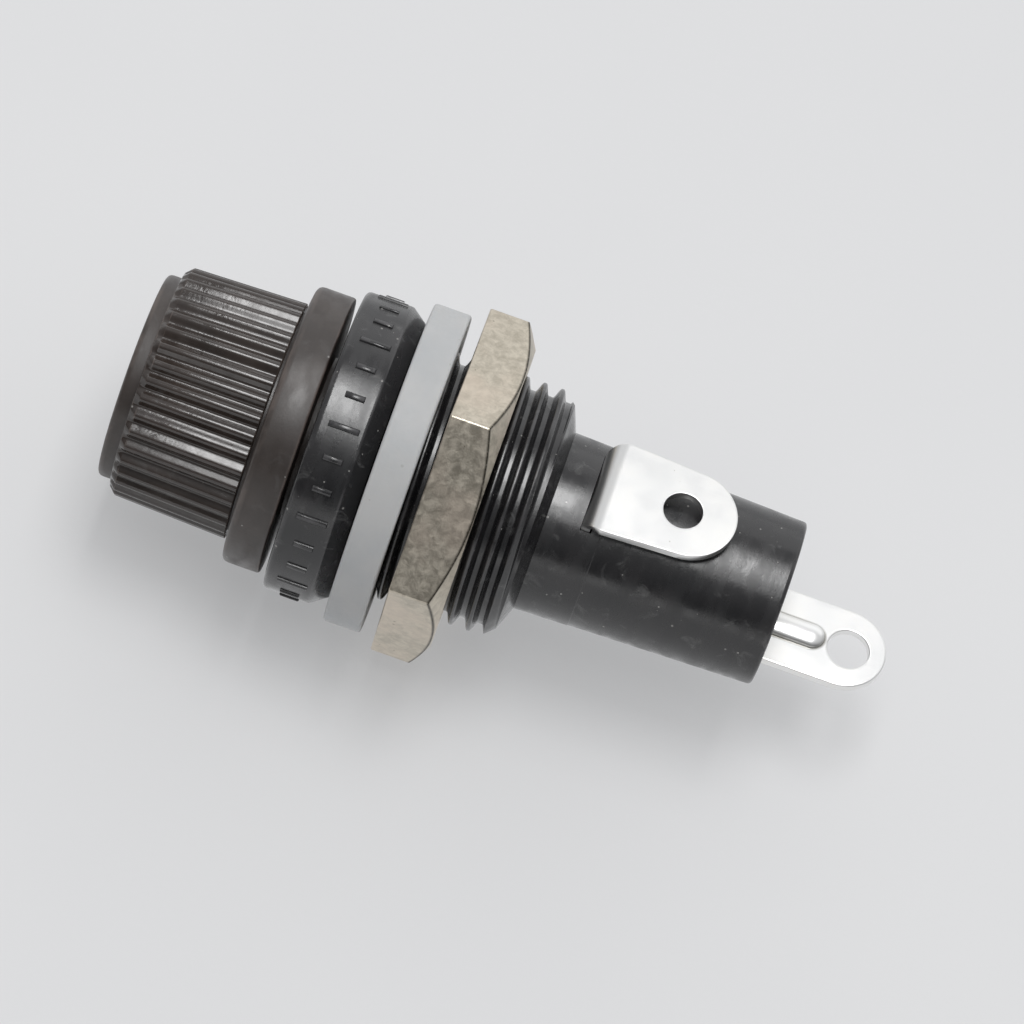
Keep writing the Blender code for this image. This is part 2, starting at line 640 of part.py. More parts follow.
def hex_nut():
    """Thin nut, flat towards the panel and chamfered behind, where the flats end in arcs."""
    flat = NUT_THREAD_RADIUS + NUT_WALL
    columns = 6 * round(SEGMENTS / 6)
    column = tau / columns
    turns = [NUT_TURNED + column * (k - round(NUT_TURNED / column)) for k in range(columns)]

    def outline(turn):
        """The hexagon's radius: the flat's distance over the cosine of the angle from its middle."""
        return flat / cos((turn - NUT_TURNED) % (pi / 3) - pi / 6)

    rim = flat - NUT_CHAMFER_INSET
    slope = tan(NUT_CHAMFER_ANGLE)
    rows = ([(0.0, outline(turn)) for turn in turns],
            [(NUT_THICKNESS - (outline(turn) - rim) * slope, outline(turn)) for turn in turns],
            [(NUT_THICKNESS, rim) for turn in turns])
    wide = NUT_THREAD_RADIUS + NUT_COUNTERSINK
    thread_end = NUT_THICKNESS - NUT_COUNTERSINK
    nut = Turned()
    nut.ring(0.0, wide)
    for row in rows:
        nut.add([nut.bm.verts.new((x, radius * cos(turn), radius * sin(turn)))
                 for turn, (x, radius) in zip(turns, row)])
    nut.rings((NUT_THICKNESS, wide), (thread_end, NUT_THREAD_RADIUS + SEAT_GAP))
    nut.thread(PANEL_THREAD, NUT_COUNTERSINK, thread_end, -NUT_FRONT, towards_front=True,
               fit=THREAD_FIT, side_play=THREAD_SIDE_PLAY)
    nut.ring(NUT_COUNTERSINK, NUT_THREAD_RADIUS + SEAT_GAP)
    made = nut.finish("hex_nut", plated_steel())
    made.location.x = NUT_FRONT
    return made


def round_end(middle, radius, start, end, steps):
    """Points along an arc about a point on the strip's centre line."""
    return [(middle + radius * cos(start + (end - start) * k / steps),
             radius * sin(start + (end - start) * k / steps)) for k in range(steps + 1)]


def round_hole(middle, radius, sides=RIVET_SEGMENTS):
    return round_end(middle, radius, 0.0, tau - tau / sides, sides - 1)


def blank(outline, holes):
    """Strip metal cut flat: X along the strip, Y across it, and its thickness up from Z = 0."""
    bm = bmesh.new()
    for loop in (outline, *holes):
        corners = [bm.verts.new((x, y, 0.0)) for x, y in loop]
        for k in range(len(corners)):
            bm.edges.new((corners[k - 1], corners[k]))
    bmesh.ops.triangle_fill(bm, edges=bm.edges[:], use_beauty=True)
    raised = bmesh.ops.extrude_face_region(bm, geom=bm.faces[:])["geom"]
    corners = [made for made in raised if isinstance(made, bmesh.types.BMVert)]
    bmesh.ops.translate(bm, vec=(0.0, 0.0, STRIP), verts=corners)
    return bm


def bend_up(bm, start):
    """Bends the strip beyond X = start by a quarter turn towards +Z, about the inside radius."""
    for k in range(BEND_STEPS + 1):
        plane = start + BEND_LENGTH * k / BEND_STEPS
        bmesh.ops.bisect_plane(bm, geom=bm.verts[:] + bm.edges[:] + bm.faces[:],
                               plane_co=(plane, 0.0, 0.0), plane_no=(1.0, 0.0, 0.0))
    centre = STRIP + BEND_RADIUS
    for vertex in bm.verts:
        past = vertex.co.x - start
        if past <= 0.0:
            continue
        turned = min(past / BEND_LENGTH, 1.0) * pi / 2
        out = centre - vertex.co.z
        straight = max(past - BEND_LENGTH, 0.0)
        vertex.co.x = start + out * sin(turned)
        vertex.co.z = centre - out * cos(turned) + straight


def side_lug_floor():
    return NECK_RADIUS + SIDE_LUG_RISE


def side_lug_width():
    """As wide as the nut can pass over."""
    top = side_lug_floor() + STRIP
    return 2 * sqrt((NUT_PASSAGE - SLIDING_FIT) ** 2 - top ** 2)


def side_terminal():
    """Ring seated in the bore, with a tab through the slot, bent back along the tail as a solder lug."""
    half = side_lug_width() / 2
    start = side_lug_floor() - BEND_RADIUS
    tip_radius = half - SIDE_LUG_TAPER / 2
    flat_length = start + BEND_LENGTH + SIDE_LUG_LENGTH - STRIP - BEND_RADIUS
    tip_middle = flat_length - tip_radius
    ring_radius = SLEEVE_RIM_RADIUS
    leaves_ring = atan2(half, sqrt(ring_radius ** 2 - half ** 2))
    outline = (round_end(0.0, ring_radius, leaves_ring, tau - leaves_ring, 2 * END_STEPS)
               + [(start, -half)]
               + round_end(tip_middle, tip_radius, -pi / 2, pi / 2, END_STEPS)
               + [(start, half)])
    holes = (round_hole(0.0, CLIP_PASSAGE, SEGMENTS),
             round_hole(flat_length - SIDE_HOLE_FROM_TIP, SIDE_HOLE_RADIUS))
    bm = blank(outline, holes)
    bend_up(bm, start)
    # The strip's own length stands up along +Z, and its thickness runs along +X.
    bm.transform(Matrix(((0, 0, 1, 0), (0, 1, 0, 0), (1, 0, 0, 0), (0, 0, 0, 1))))
    made = solid("side_terminal", bm, tinned_brass())
    made.location.x = SIDE_TERMINAL
    return made


def bead(name, length, width, height, floor_at):
    """A pressed rib: round-ended outlines that shrink towards a rounded top; it starts below its floor."""
    steps = 8
    reach = length / 2 - width / 2
    levels = [(-1.0, 1.0)] + [(sin(a), cos(a)) for a in (0.0, pi / 8, pi / 4, pi * 3 / 8)]
    bm = bmesh.new()
    last = None
    for level, share in levels:
        points = round_end(0.0, width / 2 * share, -pi / 2, pi / 2, steps)
        loop = [(reach + x, y) for x, y in points] + [(-reach - x, -y) for x, y in points]
        ring = [bm.verts.new((x, y, floor_at + level * height)) for x, y in loop]
        if last:
            stitch(bm, last, ring)
        else:
            bm.faces.new(ring)
        last = ring
    bm.faces.new(last)
    return solid(name, bm, tinned_brass())


def end_terminal():
    """Foot riveted in the hollow of the tail, bent out into a solder lug with a stiffening bead."""
    half = END_LUG_WIDTH / 2
    lug_floor = -END_LUG_OFFSET - STRIP / 2
    tip_middle = END_LUG_LENGTH - half
    bend_end = STRIP + BEND_RADIUS
    foot_to_rivet = -lug_floor - STRIP - BEND_RADIUS
    rivet_at = bend_end - BEND_LENGTH - foot_to_rivet
    outline = (round_end(tip_middle, half, -pi / 2, pi / 2, END_STEPS)
               + round_end(rivet_at, half, pi / 2, 3 * pi / 2, END_STEPS))
    holes = (round_hole(END_LUG_LENGTH - END_HOLE_FROM_TIP, END_HOLE_RADIUS),
             round_hole(rivet_at, END_RIVET_SHANK_RADIUS + SEAT_GAP))
    bm = blank(outline, holes)
    # The foot is bent up from the lug: turned round, bent beyond the bend's end, and turned back.
    turn_round = Matrix.Rotation(pi, 4, "Z")
    bm.transform(turn_round)
    bend_up(bm, -bend_end)
    bm.transform(turn_round)
    made = solid("end_terminal", bm, tinned_brass())
    made.location = (END_TERMINAL, 0.0, lug_floor)

    bead_start = STRIP / 2
    bead_end = END_LUG_LENGTH - END_HOLE_FROM_TIP - END_HOLE_RADIUS - BEAD_TO_HOLE
    length = bead_end - bead_start
    width = length / BEAD_SLENDERNESS
    pressed = bead("stiffening_bead", length, width, BEAD_HEIGHT, STRIP)
    pressed.location.x = bead_start + length / 2
    combine(made, pressed, "UNION")
    hollow = bead("bead_hollow", length - 2 * STRIP, width - STRIP, BEAD_HEIGHT, 0.0)
    hollow.location.x = pressed.location.x + STRIP / 2
    combine(made, hollow, "DIFFERENCE")
    return made


def carry(name, pieces):
    """An empty on the axis that carries a group of moving pieces."""
    carrier = bpy.data.objects.new(name, None)
    carrier.empty_display_size = FLANGE_RADIUS
    bpy.context.scene.collection.objects.link(carrier)
    for piece in pieces:
        piece.parent = carrier
    return carrier


def smooth_by_angle():
    """Shades edges flatter than SMOOTH_BELOW smooth after the cuts, whose own edges are then sharp."""
    group = bpy.data.node_groups.new("smooth_by_angle", "GeometryNodeTree")
    group.is_modifier = True
    for in_out in ("INPUT", "OUTPUT"):
        group.interface.new_socket("Geometry", in_out=in_out, socket_type="NodeSocketGeometry")
    start, angle, flat, shade, end = (group.nodes.new(kind) for kind in (
        "NodeGroupInput", "GeometryNodeInputMeshEdgeAngle", "FunctionNodeCompare",
        "GeometryNodeSetShadeSmooth", "NodeGroupOutput"))
    flat.operation = "LESS_EQUAL"
    flat.inputs["B"].default_value = SMOOTH_BELOW
    shade.domain = "EDGE"
    group.links.new(angle.outputs["Unsigned Angle"], flat.inputs["A"])
    group.links.new(flat.outputs["Result"], shade.inputs["Shade Smooth"])
    group.links.new(start.outputs["Geometry"], shade.inputs["Geometry"])
    group.links.new(shade.outputs["Geometry"], end.inputs["Geometry"])
    for made in bpy.data.objects:
        if made.type == "MESH" and not made.hide_render:
            made.modifiers.new(group.name, "NODES").node_group = group


def build():
    for old in list(bpy.data.objects):
        bpy.data.objects.remove(old, do_unlink=True)
    holder_body()
    contact_sleeve()
    side_terminal()
    end_terminal()
    end_rivet()
    carry("cap_axis", (screw_cap(), clip_rivet(), fuse_clip()))
    carry("nut_axis", (hex_nut(), sealing_washer()))
    carry("plunger_axis", (contact_plunger(), contact_spring()))
    smooth_by_angle()


build()
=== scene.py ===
"""The looks of a panel-mount fuse holder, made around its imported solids.

Lengths are in millimetres and become metres when a mesh is made. +X runs from the cap to the solder
terminals, +Z points to the side terminal, and angles round the axis count from +Y towards +Z.
"""

from math import asin, cos, hypot, pi, radians, sin, sqrt, tan, tau

import bmesh
import bpy
import numpy as np
from mathutils import Matrix, Vector


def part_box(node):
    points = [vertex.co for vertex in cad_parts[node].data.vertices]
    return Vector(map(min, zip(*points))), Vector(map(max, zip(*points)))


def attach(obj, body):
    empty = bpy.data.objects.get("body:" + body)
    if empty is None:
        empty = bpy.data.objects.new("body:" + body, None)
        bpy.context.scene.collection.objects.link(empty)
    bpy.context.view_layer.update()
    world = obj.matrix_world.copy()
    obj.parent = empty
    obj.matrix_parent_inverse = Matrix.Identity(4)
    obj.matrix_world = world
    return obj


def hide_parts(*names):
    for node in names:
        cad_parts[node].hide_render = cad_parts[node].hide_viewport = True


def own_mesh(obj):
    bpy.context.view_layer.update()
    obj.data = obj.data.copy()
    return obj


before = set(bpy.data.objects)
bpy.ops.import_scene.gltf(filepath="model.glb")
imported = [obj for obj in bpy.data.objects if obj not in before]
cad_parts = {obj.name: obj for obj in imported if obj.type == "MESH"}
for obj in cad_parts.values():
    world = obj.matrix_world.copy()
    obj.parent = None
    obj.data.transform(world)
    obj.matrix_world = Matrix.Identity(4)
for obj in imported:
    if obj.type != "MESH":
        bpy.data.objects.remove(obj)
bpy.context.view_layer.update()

MM = 0.001
SHARP_ANGLE = radians(50.0)   # faces that meet at more than this keep a hard edge
AXIS_DISC = 0.01              # radius of the small disc that closes a turned solid on its axis
POINTS_APART = 0.01           # keeps two neighbouring points of a profile apart
ROUNDING_STEPS = 5
COLUMNS, INNER_COLUMNS = 168, 96
RIDGE_HALF_WIDTH, RIDGE_FLANK = 0.375, 0.3125     # of a thread's ridge at its root, as shares of the pitch
SOFTNESS = 0.8                # of the ends of a thread's flank or a rib's side


def limits(node):
    """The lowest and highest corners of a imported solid, in millimetres."""
    low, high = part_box(node)
    return low / MM, high / MM


BODY_LOW, BODY_HIGH = limits("holder_body")
CAP_LOW, CAP_HIGH = limits("screw_cap")
CLIP_LOW, CLIP_HIGH = limits("fuse_clip")
CLIP_RIVET_LOW, CLIP_RIVET_HIGH = limits("clip_rivet")
SLEEVE_LOW, SLEEVE_HIGH = limits("contact_sleeve")
PLUNGER_LOW, PLUNGER_HIGH = limits("contact_plunger")
SPRING_LOW, SPRING_HIGH = limits("contact_spring")
END_RIVET_LOW, END_RIVET_HIGH = limits("end_rivet")
WASHER_LOW, WASHER_HIGH = limits("sealing_washer")
NUT_LOW, NUT_HIGH = limits("hex_nut")
SIDE_LOW, SIDE_HIGH = limits("side_terminal")
END_LOW, END_HIGH = limits("end_terminal")

# Screw cap
CAP_GAP = 0.4
SKIRT_REAR = BODY_LOW.x - CAP_GAP
SKIRT_LENGTH = 2.15
SKIRT_FRONT = SKIRT_REAR - SKIRT_LENGTH
RELIEF_LENGTH = 0.2
RELIEF_DEPTH = 0.5
RIBS_REAR = SKIRT_FRONT - RELIEF_LENGTH
RIBS_LENGTH = 6.7
RIBS_FRONT = RIBS_REAR - RIBS_LENGTH
RIB_COUNT = 40
RIB_DEPTH = 0.31
RIB_CHAMFER = 0.35
RIB_DRAFT = 0.22
GRIP_RADIUS = CAP_HIGH.y - 1.14
COLLAR_RADIUS = GRIP_RADIUS - RIB_DRAFT - 0.74
GROOVE_FLOOR_END, RIB_TOP_START = 0.02, 0.45      # as shares of the space from one rib to the next
CAP_BORE = 3.3
CAP_FLOOR = SKIRT_REAR - 0.5
SPIGOT_ROOT, SPIGOT_CREST, SPIGOT_PITCH = 4.5, 5.0, 1.5
SPIGOT_NECK, SPIGOT_NECK_RADIUS = 0.7, SPIGOT_ROOT - 0.05    # plain length behind the skirt
SPIGOT_STUB = 0.2             # length of the spigot that is one with the grip
SPIGOT_LEAD = 0.6
SPIGOT_TIP, SPIGOT_TIP_RADIUS = 0.12, SPIGOT_ROOT - 0.15

# Body
PANEL_ROOT, PANEL_CREST, PANEL_PITCH = 6.35, 6.95, 1.0
PANEL_THREAD_END = 8.95
PANEL_THREAD_LEAD = 0.65
SHOULDER_END = 9.5
FLANGE_RADIUS = BODY_HIGH.y
FLANGE_CHAMFER_START, FLANGE_REAR_RADIUS = -0.9, FLANGE_RADIUS - 0.65
MOUTH_CHAMFER = 0.3
THREAD_FIT = 0.09
CREST_WEAR_AND_HIGHLIGHT = 0.16             # depth below a thread's crest over which the pale wear fades; on the crests this paleness is also a painted highlight
TICK_COUNT, TICK_LENGTH, TICK_WIDTH, TICK_HEIGHT = 30, 1.7, 0.32, 0.13
SHORT_TICK = 0.64             # as a share of the long one
TICK_ROOT_DEPTH, TICK_SLOPE = 0.05, 0.06
TICK_MARGIN = 0.45            # of the flange's front edge, which the ticks leave bare
NECK_RADIUS = 4.98
TAIL_DRAFT = 0.4
BORE_RADIUS, BORE_START, BORE_END = 4.2, 3.1, 11.95
TAIL_BORE_RADIUS, TAIL_BORE_END = 3.2, 20.3
SLIDING_FIT = 0.1
SEAT_GAP = 0.05
SLOT_FIT = 0.03
FOOT_SEAT = END_LOW.x - SEAT_GAP          # bottom of the hollow in the tail's end
FOOT_EASE = 0.2
MOULDING_STEP, MOULDING_STEP_FROM_SLOT = 0.03, 1.1

# Terminals
STRIP = 0.5
SIDE_BEND_RADIUS, END_BEND_RADIUS = 0.6, 0.25
TAB_INSET = 0.45              # how much narrower than its lug the side terminal's tab is, on each side
STAMPED_EDGE = 0.07
FLAT_BORDER = 0.05            # strip of small faces that keeps the flat's shading even
NUT_CLEARS = 6.34
SIDE_TAPER = 0.45
SIDE_HOLE_RADIUS, SIDE_HOLE_FROM_TIP = 1.07, 2.95
END_HOLE_RADIUS, END_HOLE_FROM_TIP = 1.15, 2.1
BEAD_WIDTH, BEAD_HEIGHT, BEAD_TO_HOLE = 1.5, 0.4, 0.2
BEAD_ROUND = 0.9 * pi / 2     # how far round the bead's side turns before its flat top
BEAD_START = END_LOW.x + STRIP / 2
BEAD_END = END_HIGH.x - END_HOLE_FROM_TIP - END_HOLE_RADIUS - BEAD_TO_HOLE
LUG_END_STEPS, RING_STEPS, HOLE_STEPS, BEND_STEPS = 48, 60, 64, 14

# Clip, rivets and inner contacts
CLIP_SHANK, CLIP_SHANK_FIT = 0.8, 0.05
CLIP_SHEET = 0.35
CLIP_WAIST_FROM_MOUTH, CLIP_PINCH = 2.6, 0.25
CLIP_LIP_LENGTH, CLIP_LIP_FLARE = 0.6, 0.12
CLIP_SLIT_LENGTH, CLIP_SLIT_WIDTH = 8.5, 0.5
CLIP_RIVET_HEAD = 0.4
RIVET_SHANK = 1.0
RIVET_INNER_HEAD = 0.45
RIVET_DOME_RADIUS, RIVET_DOME_HEIGHT, RIVET_DOME_STEPS = 1.4, 0.6, 11
SLEEVE_SHEET = 0.35
SLEEVE_LEAD_LENGTH, SLEEVE_LEAD_DEPTH = 0.3, 0.1
PLUNGER_SHEET = 0.4
SPRING_WIRE, SPRING_COIL = 0.2, 2.1               # radii
SPRING_TURNS, SPRING_CLOSED_PITCH = 5, 0.46       # the first and the last turn are closed
SPRING_STEPS, SPRING_SIDES = 40, 14

# Nut
NUT_CORNER = radians(40.0)
NUT_EDGE_ROUNDING = 0.16
NUT_COUNTERSINK = 0.2
NUT_CHAMFER_INSET = 0.1
# width of the band of painted shade beside the chamfer's edge
NUT_SHADE_BAND = 0.13
NUT_CHAMFER_ANGLE = radians(30.0)
NUT_CORNER_STEPS, NUT_FLAT_STEPS = 8, 22

# Floor
FLOOR_REACH = 1.5             # in metres
FLOOR_GLOW = (0.722, 0.727, 0.737)
FLOOR_GLOW_SEEN, FLOOR_GLOW_REFLECTED = 0.42, 0.95


def linked(name, data):
    """An object of this data, in the scene."""
    made = bpy.data.objects.new(name, data)
    bpy.context.scene.collection.objects.link(made)
    return made


def smooth_object(name, mesh):
    """An object of a mesh, shaded smooth between its hard edges."""
    mesh.shade_smooth()
    mesh.set_sharp_from_angle(angle=SHARP_ANGLE)
    return linked(name, mesh)


def mesh_object(name, points, faces, edge_marks=None):
    """A mesh object in metres, its faces pointing out. The marks are 1 on the middle of a rounded edge."""
    mesh = bpy.data.meshes.new(name)
    mesh.from_pydata((np.asarray(points) * MM).tolist(), [], faces)
    if edge_marks is not None:
        mesh.attributes.new("edge", "FLOAT", "POINT").data.foreach_set("value", edge_marks)
    bm = bmesh.new()
    bm.from_mesh(mesh)
    bmesh.ops.recalc_face_normals(bm, faces=bm.faces[:])
    bm.to_mesh(mesh)
    bm.free()
    return smooth_object(name, mesh)


def mark(made, name, values):
    """A number on each point, which a finish can read."""
    made.data.attributes.new(name, "FLOAT", "POINT").data.foreach_set("value", values)


def weighted(made):
    """Flat faces keep their own normal and the roundings between them turn smoothly."""
    step = made.modifiers.new("weighted_normals", "WEIGHTED_NORMAL")
    step.keep_sharp = True
    step.weight = 90


def place(made, body, finish, replaces=None):
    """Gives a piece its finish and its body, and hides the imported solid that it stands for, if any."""
    made.data.materials.clear()
    made.data.materials.append(finish)
    weighted(made)
    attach(made, body)
    if replaces:
        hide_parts(replaces)
    return made


def rounded(corners, roundings, closed=True, steps=ROUNDING_STEPS):
    """Profile points through the corners, each rounded, and a mark of 1 on the middle of each rounding.

    corners has the shape (..., count, 2), so each column round the axis may have corners of its own. A
    rounding takes up no more than a set share of the shorter side beside it."""
    corners = np.asarray(corners, float)
    count = corners.shape[-2]
    most, tiny, nearly_straight = 0.45, 1e-9, 0.9999
    points, marks = [], []
    for k, size in enumerate(roundings):
        here = corners[..., k, :]
        if size == 0.0 or (not closed and k in (0, count - 1)):
            points.append(here)
            marks.append(0.0)
            continue
        back = corners[..., k - 1, :] - here
        on = corners[..., (k + 1) % count, :] - here
        back_length = np.maximum(np.linalg.norm(back, axis=-1, keepdims=True), tiny)
        on_length = np.maximum(np.linalg.norm(on, axis=-1, keepdims=True), tiny)
        back, on = back / back_length, on / on_length
        cosine = np.clip((back * on).sum(-1, keepdims=True), -nearly_straight, nearly_straight)
        reach = np.minimum(size / np.tan(np.arccos(cosine) / 2), most * np.minimum(back_length, on_length))
        start, end = here + back * reach, here + on * reach
        for step in range(steps + 1):
            s = step / steps
            points.append((1 - s) ** 2 * start + 2 * s * (1 - s) * here + s ** 2 * end)
            marks.append(sin(pi * s))
    return np.stack(points, -2), np.array(marks)


def even_turns(columns=COLUMNS):
    """Angles of evenly spaced columns round the axis."""
    return tau * np.arange(columns) / columns


def turned(name, profile, marks, turns=None, closed=True):
    """A solid turned about the X axis. An open profile ends in a disc at both ends."""
    turns = even_turns() if turns is None else turns
    columns = len(turns)
    profile = np.broadcast_to(profile, (columns, *profile.shape[-2:]))
    count = profile.shape[1]
    x, r = profile[..., 0], profile[..., 1]
    points = np.stack((x, r * np.cos(turns)[:, None], r * np.sin(turns)[:, None]), -1).reshape(-1, 3)
    index = np.arange(columns * count).reshape(columns, count)
    beside = np.roll(index, -1, axis=0)
    last = count if closed else count - 1
    ahead, beside_ahead = np.roll(index, -1, axis=1), np.roll(beside, -1, axis=1)
    quads = np.stack((index, beside, beside_ahead, ahead), -1)[:, :last].reshape(-1, 4).tolist()
    if not closed:
        quads += [index[:, 0].tolist(), index[:, -1].tolist()]
    return mesh_object(name, points, quads, np.tile(marks, columns))


def skinned(name, loops):
    """A solid over loops of points one after another, with a face over the first and the last loop."""
    loops = np.asarray(loops)
    index = np.arange(loops.shape[0] * loops.shape[1]).reshape(loops.shape[:2])
    here, there = index[:-1], index[1:]
    quads = np.stack((here, np.roll(here, -1, 1), np.roll(there, -1, 1), there), -1).reshape(-1, 4)
    return mesh_object(name, loops.reshape(-1, 3), quads.tolist() + [index[0].tolist(), index[-1].tolist()])


def eased(share):
    """A rise from 0 to 1 that starts and ends level."""
    return share ** 2 * (3 - 2 * share)


def softened(share):
    """A nearly straight rise from 0 to 1 with soft ends."""
    return share + SOFTNESS * (eased(share) - share)


def ridge(phase):
    """A thread's ridge across one pitch, 0 at the root and 1 at the crest."""
    return softened(np.clip((RIDGE_HALF_WIDTH - np.abs(phase)) / RIDGE_FLANK, 0.0, 1.0))


def run_out(end, length, root, crest):
    """The greatest radius of a thread that runs out towards its end, as a function of X."""
    return lambda x: crest - np.clip(x - (end - length), 0, None) / length * (crest - root)


def threaded(turns, start, end, root, crest, pitch, datum, ceiling, per_pitch=26):
    """Profile points of a right-hand thread from start to end, for each column. No point lies beyond the
    ceiling, a function of X."""
    x = np.linspace(start, end, max(2, round(abs(end - start) / pitch * per_pitch)))
    phase = ((x[None, :] - datum) / pitch - turns[:, None] / tau + 0.5) % 1.0 - 0.5
    r = np.minimum(root + (crest - root) * ridge(phase), ceiling(x)[None, :])
    return np.stack((np.broadcast_to(x, r.shape), r), -1)


def joined(turns, *parts):
    """Profile parts one after another; a part is (points, marks), and marks may be left out as None."""
    columns = len(turns)
    points = [np.broadcast_to(p, (columns, *p.shape[-2:])) for p, _ in parts]
    marks = [np.zeros(p.shape[-2]) if m is None else m for p, m in parts]
    return np.concatenate(points, 1), np.concatenate(marks)


def combined(made, added=(), taken=()):
    """A piece with some solids added to it and others taken away, kept as its mesh."""
    tools = [(tool, "UNION") for tool in added] + [(tool, "DIFFERENCE") for tool in taken]
    for tool, operation in tools:
        step = made.modifiers.new("combine", "BOOLEAN")
        step.object = tool
        step.operation = operation
    graph = bpy.context.evaluated_depsgraph_get()
    result = bpy.data.meshes.new_from_object(made.evaluated_get(graph))
    made.modifiers.clear()
    made.data = result
    result.set_sharp_from_angle(angle=SHARP_ANGLE)
    for tool, _ in tools:
        bpy.data.objects.remove(tool, do_unlink=True)
    return made


def box(name, low, high, turn=0.0):
    """A box from corner to corner, turned about the X axis."""
    (x0, y0, z0), (x1, y1, z1) = low, high
    corners = [(x, y, z) for x in (x0, x1) for y in (y0, y1) for z in (z0, z1)]
    points = np.array(corners) @ np.array(Matrix.Rotation(turn, 3, "X").transposed())
    faces = [(0, 1, 3, 2), (4, 6, 7, 5), (0, 4, 5, 1), (2, 3, 7, 6), (0, 2, 6, 4), (1, 5, 7, 3)]
    return mesh_object(name, points, faces)


class Finish:
    """A node material: a Principled shader and the textures that feed it, in millimetres on the piece."""

    def __init__(self, name, colour, roughness, metallic=0.0, **inputs):
        self.material = bpy.data.materials.new(name)
        self.material.use_nodes = True
        self.tree = self.material.node_tree
        self.shader = self.tree.nodes["Principled BSDF"]
        self.set(self.shader, "Base Color", (*colour, 1.0))
        self.set(self.shader, "Roughness", roughness)
        self.set(self.shader, "Metallic", metallic)
        for key, value in inputs.items():
            self.set(self.shader, key.replace("_", " "), value)
        self.material.diffuse_color = (*colour, 1.0)
        self.place = self.node("ShaderNodeTexCoord").outputs["Object"]

    def node(self, kind, **values):
        """A new node with some of its settings."""
        made = self.tree.nodes.new(kind)
        for key, value in values.items():
            setattr(made, key, value)
        return made

    def set(self, node, socket, value):
        """A socket's own value, or a link where the value is another node's output."""
        if isinstance(value, bpy.types.NodeSocket):
            self.tree.links.new(value, node.inputs[socket])
        else:
            node.inputs[socket].default_value = value

    def counted(self, sizes):
        """The place on the piece, counted in the sizes given along X, Y and Z, in millimetres."""
        scale = self.node("ShaderNodeMapping")
        self.set(scale, "Vector", self.place)
        self.set(scale, "Scale", [1 / (size * MM) for size in sizes])
        return scale.outputs["Vector"]

    def noise(self, size, detail=3.0, roughness=0.55, distortion=0.0, stretch=(1.0, 1.0, 1.0)):
        """Noise whose patches are about the size given, in millimetres; stretch lengthens them."""
        texture = self.node("ShaderNodeTexNoise")
        self.set(texture, "Vector", self.counted([size * s for s in stretch]))
        self.set(texture, "Scale", 1.0)
        self.set(texture, "Detail", detail)
        self.set(texture, "Roughness", roughness)
        self.set(texture, "Distortion", distortion)
        return texture.outputs["Fac"]

    def specks(self, size, share):
        """1 on small round spots: one in a cell of this size, on the share of the cells given."""
        largest = 0.2         # radius of a spot, as a share of its cell
        cells = self.node("ShaderNodeTexVoronoi", feature="F1")
        self.set(cells, "Vector", self.counted([size] * 3))
        self.set(cells, "Scale", 1.0)
        chosen = self.node("ShaderNodeSeparateColor")
        self.set(chosen, "Color", cells.outputs["Color"])
        picked = self.math("LESS_THAN", chosen.outputs["Red"], share)
        radius = self.math("MULTIPLY", chosen.outputs["Green"], largest)
        return self.math("MULTIPLY", picked, self.math("LESS_THAN", cells.outputs["Distance"], radius))

    def range(self, value, low, high, to_low=0.0, to_high=1.0):
        """A value's range from low to high, mapped softly onto another."""
        made = self.node("ShaderNodeMapRange", interpolation_type="SMOOTHSTEP")
        for socket, given in zip(("Value", "From Min", "From Max", "To Min", "To Max"),
                                 (value, low, high, to_low, to_high)):
            self.set(made, socket, given)
        return made.outputs["Result"]

    def math(self, operation, *values):
        """An operation on numbers or outputs."""
        made = self.node("ShaderNodeMath", operation=operation)
        for k, value in enumerate(values):
            self.set(made, k, value)
        return made.outputs["Value"]

    def mix(self, share, a, b):
        """The colour that is a at share 0 and b at share 1."""
        factor, first, second, result = 0, 6, 7, 2    # the node's sockets for colours
        made = self.node("ShaderNodeMix", data_type="RGBA")
        self.set(made, factor, share)
        for socket, value in ((first, a), (second, b)):
            self.set(made, socket, (*value, 1.0) if isinstance(value, tuple) else value)
        return made.outputs[result]

    def crease_shade(self, start, end, width, above, wide):
        """1 in a narrow line round a pressed rib along X with round ends, on what lies above this height; it
        places painted shade in the rib's crease.
        """
        split = self.node("ShaderNodeSeparateXYZ")
        self.set(split, "Vector", self.place)
        x, y, z = split.outputs
        nearest = self.math("MAXIMUM", x, (start + width / 2) * MM)
        nearest = self.math("MINIMUM", nearest, (end - width / 2) * MM)
        along = self.math("SUBTRACT", x, nearest)
        away = self.math("SQRT", self.math("MULTIPLY_ADD", along, along, self.math("MULTIPLY", y, y)))
        off = self.math("ABSOLUTE", self.math("SUBTRACT", away, width / 2 * MM))
        return self.math("MULTIPLY", self.range(off, 0.0, wide * MM, 1.0, 0.0),
                         self.math("GREATER_THAN", z, above * MM))

    def marked(self, name):
        """The number on a piece's points under this name."""
        return self.node("ShaderNodeAttribute", attribute_name=name).outputs["Fac"]

    def colour(self, value):
        self.set(self.shader, "Base Color", value)

    def rough(self, value):
        self.set(self.shader, "Roughness", value)

    def bump(self, *layers):
        """Each layer is a height from 0 to 1 and what 1 stands for, in millimetres."""
        normal = None
        for height, tall in layers:
            made = self.node("ShaderNodeBump")
            self.set(made, "Strength", 1.0)
            self.set(made, "Distance", tall * MM)
            self.set(made, "Height", height)
            if normal:
                self.set(made, "Normal", normal)
            normal = made.outputs["Normal"]
        self.set(self.shader, "Normal", normal)


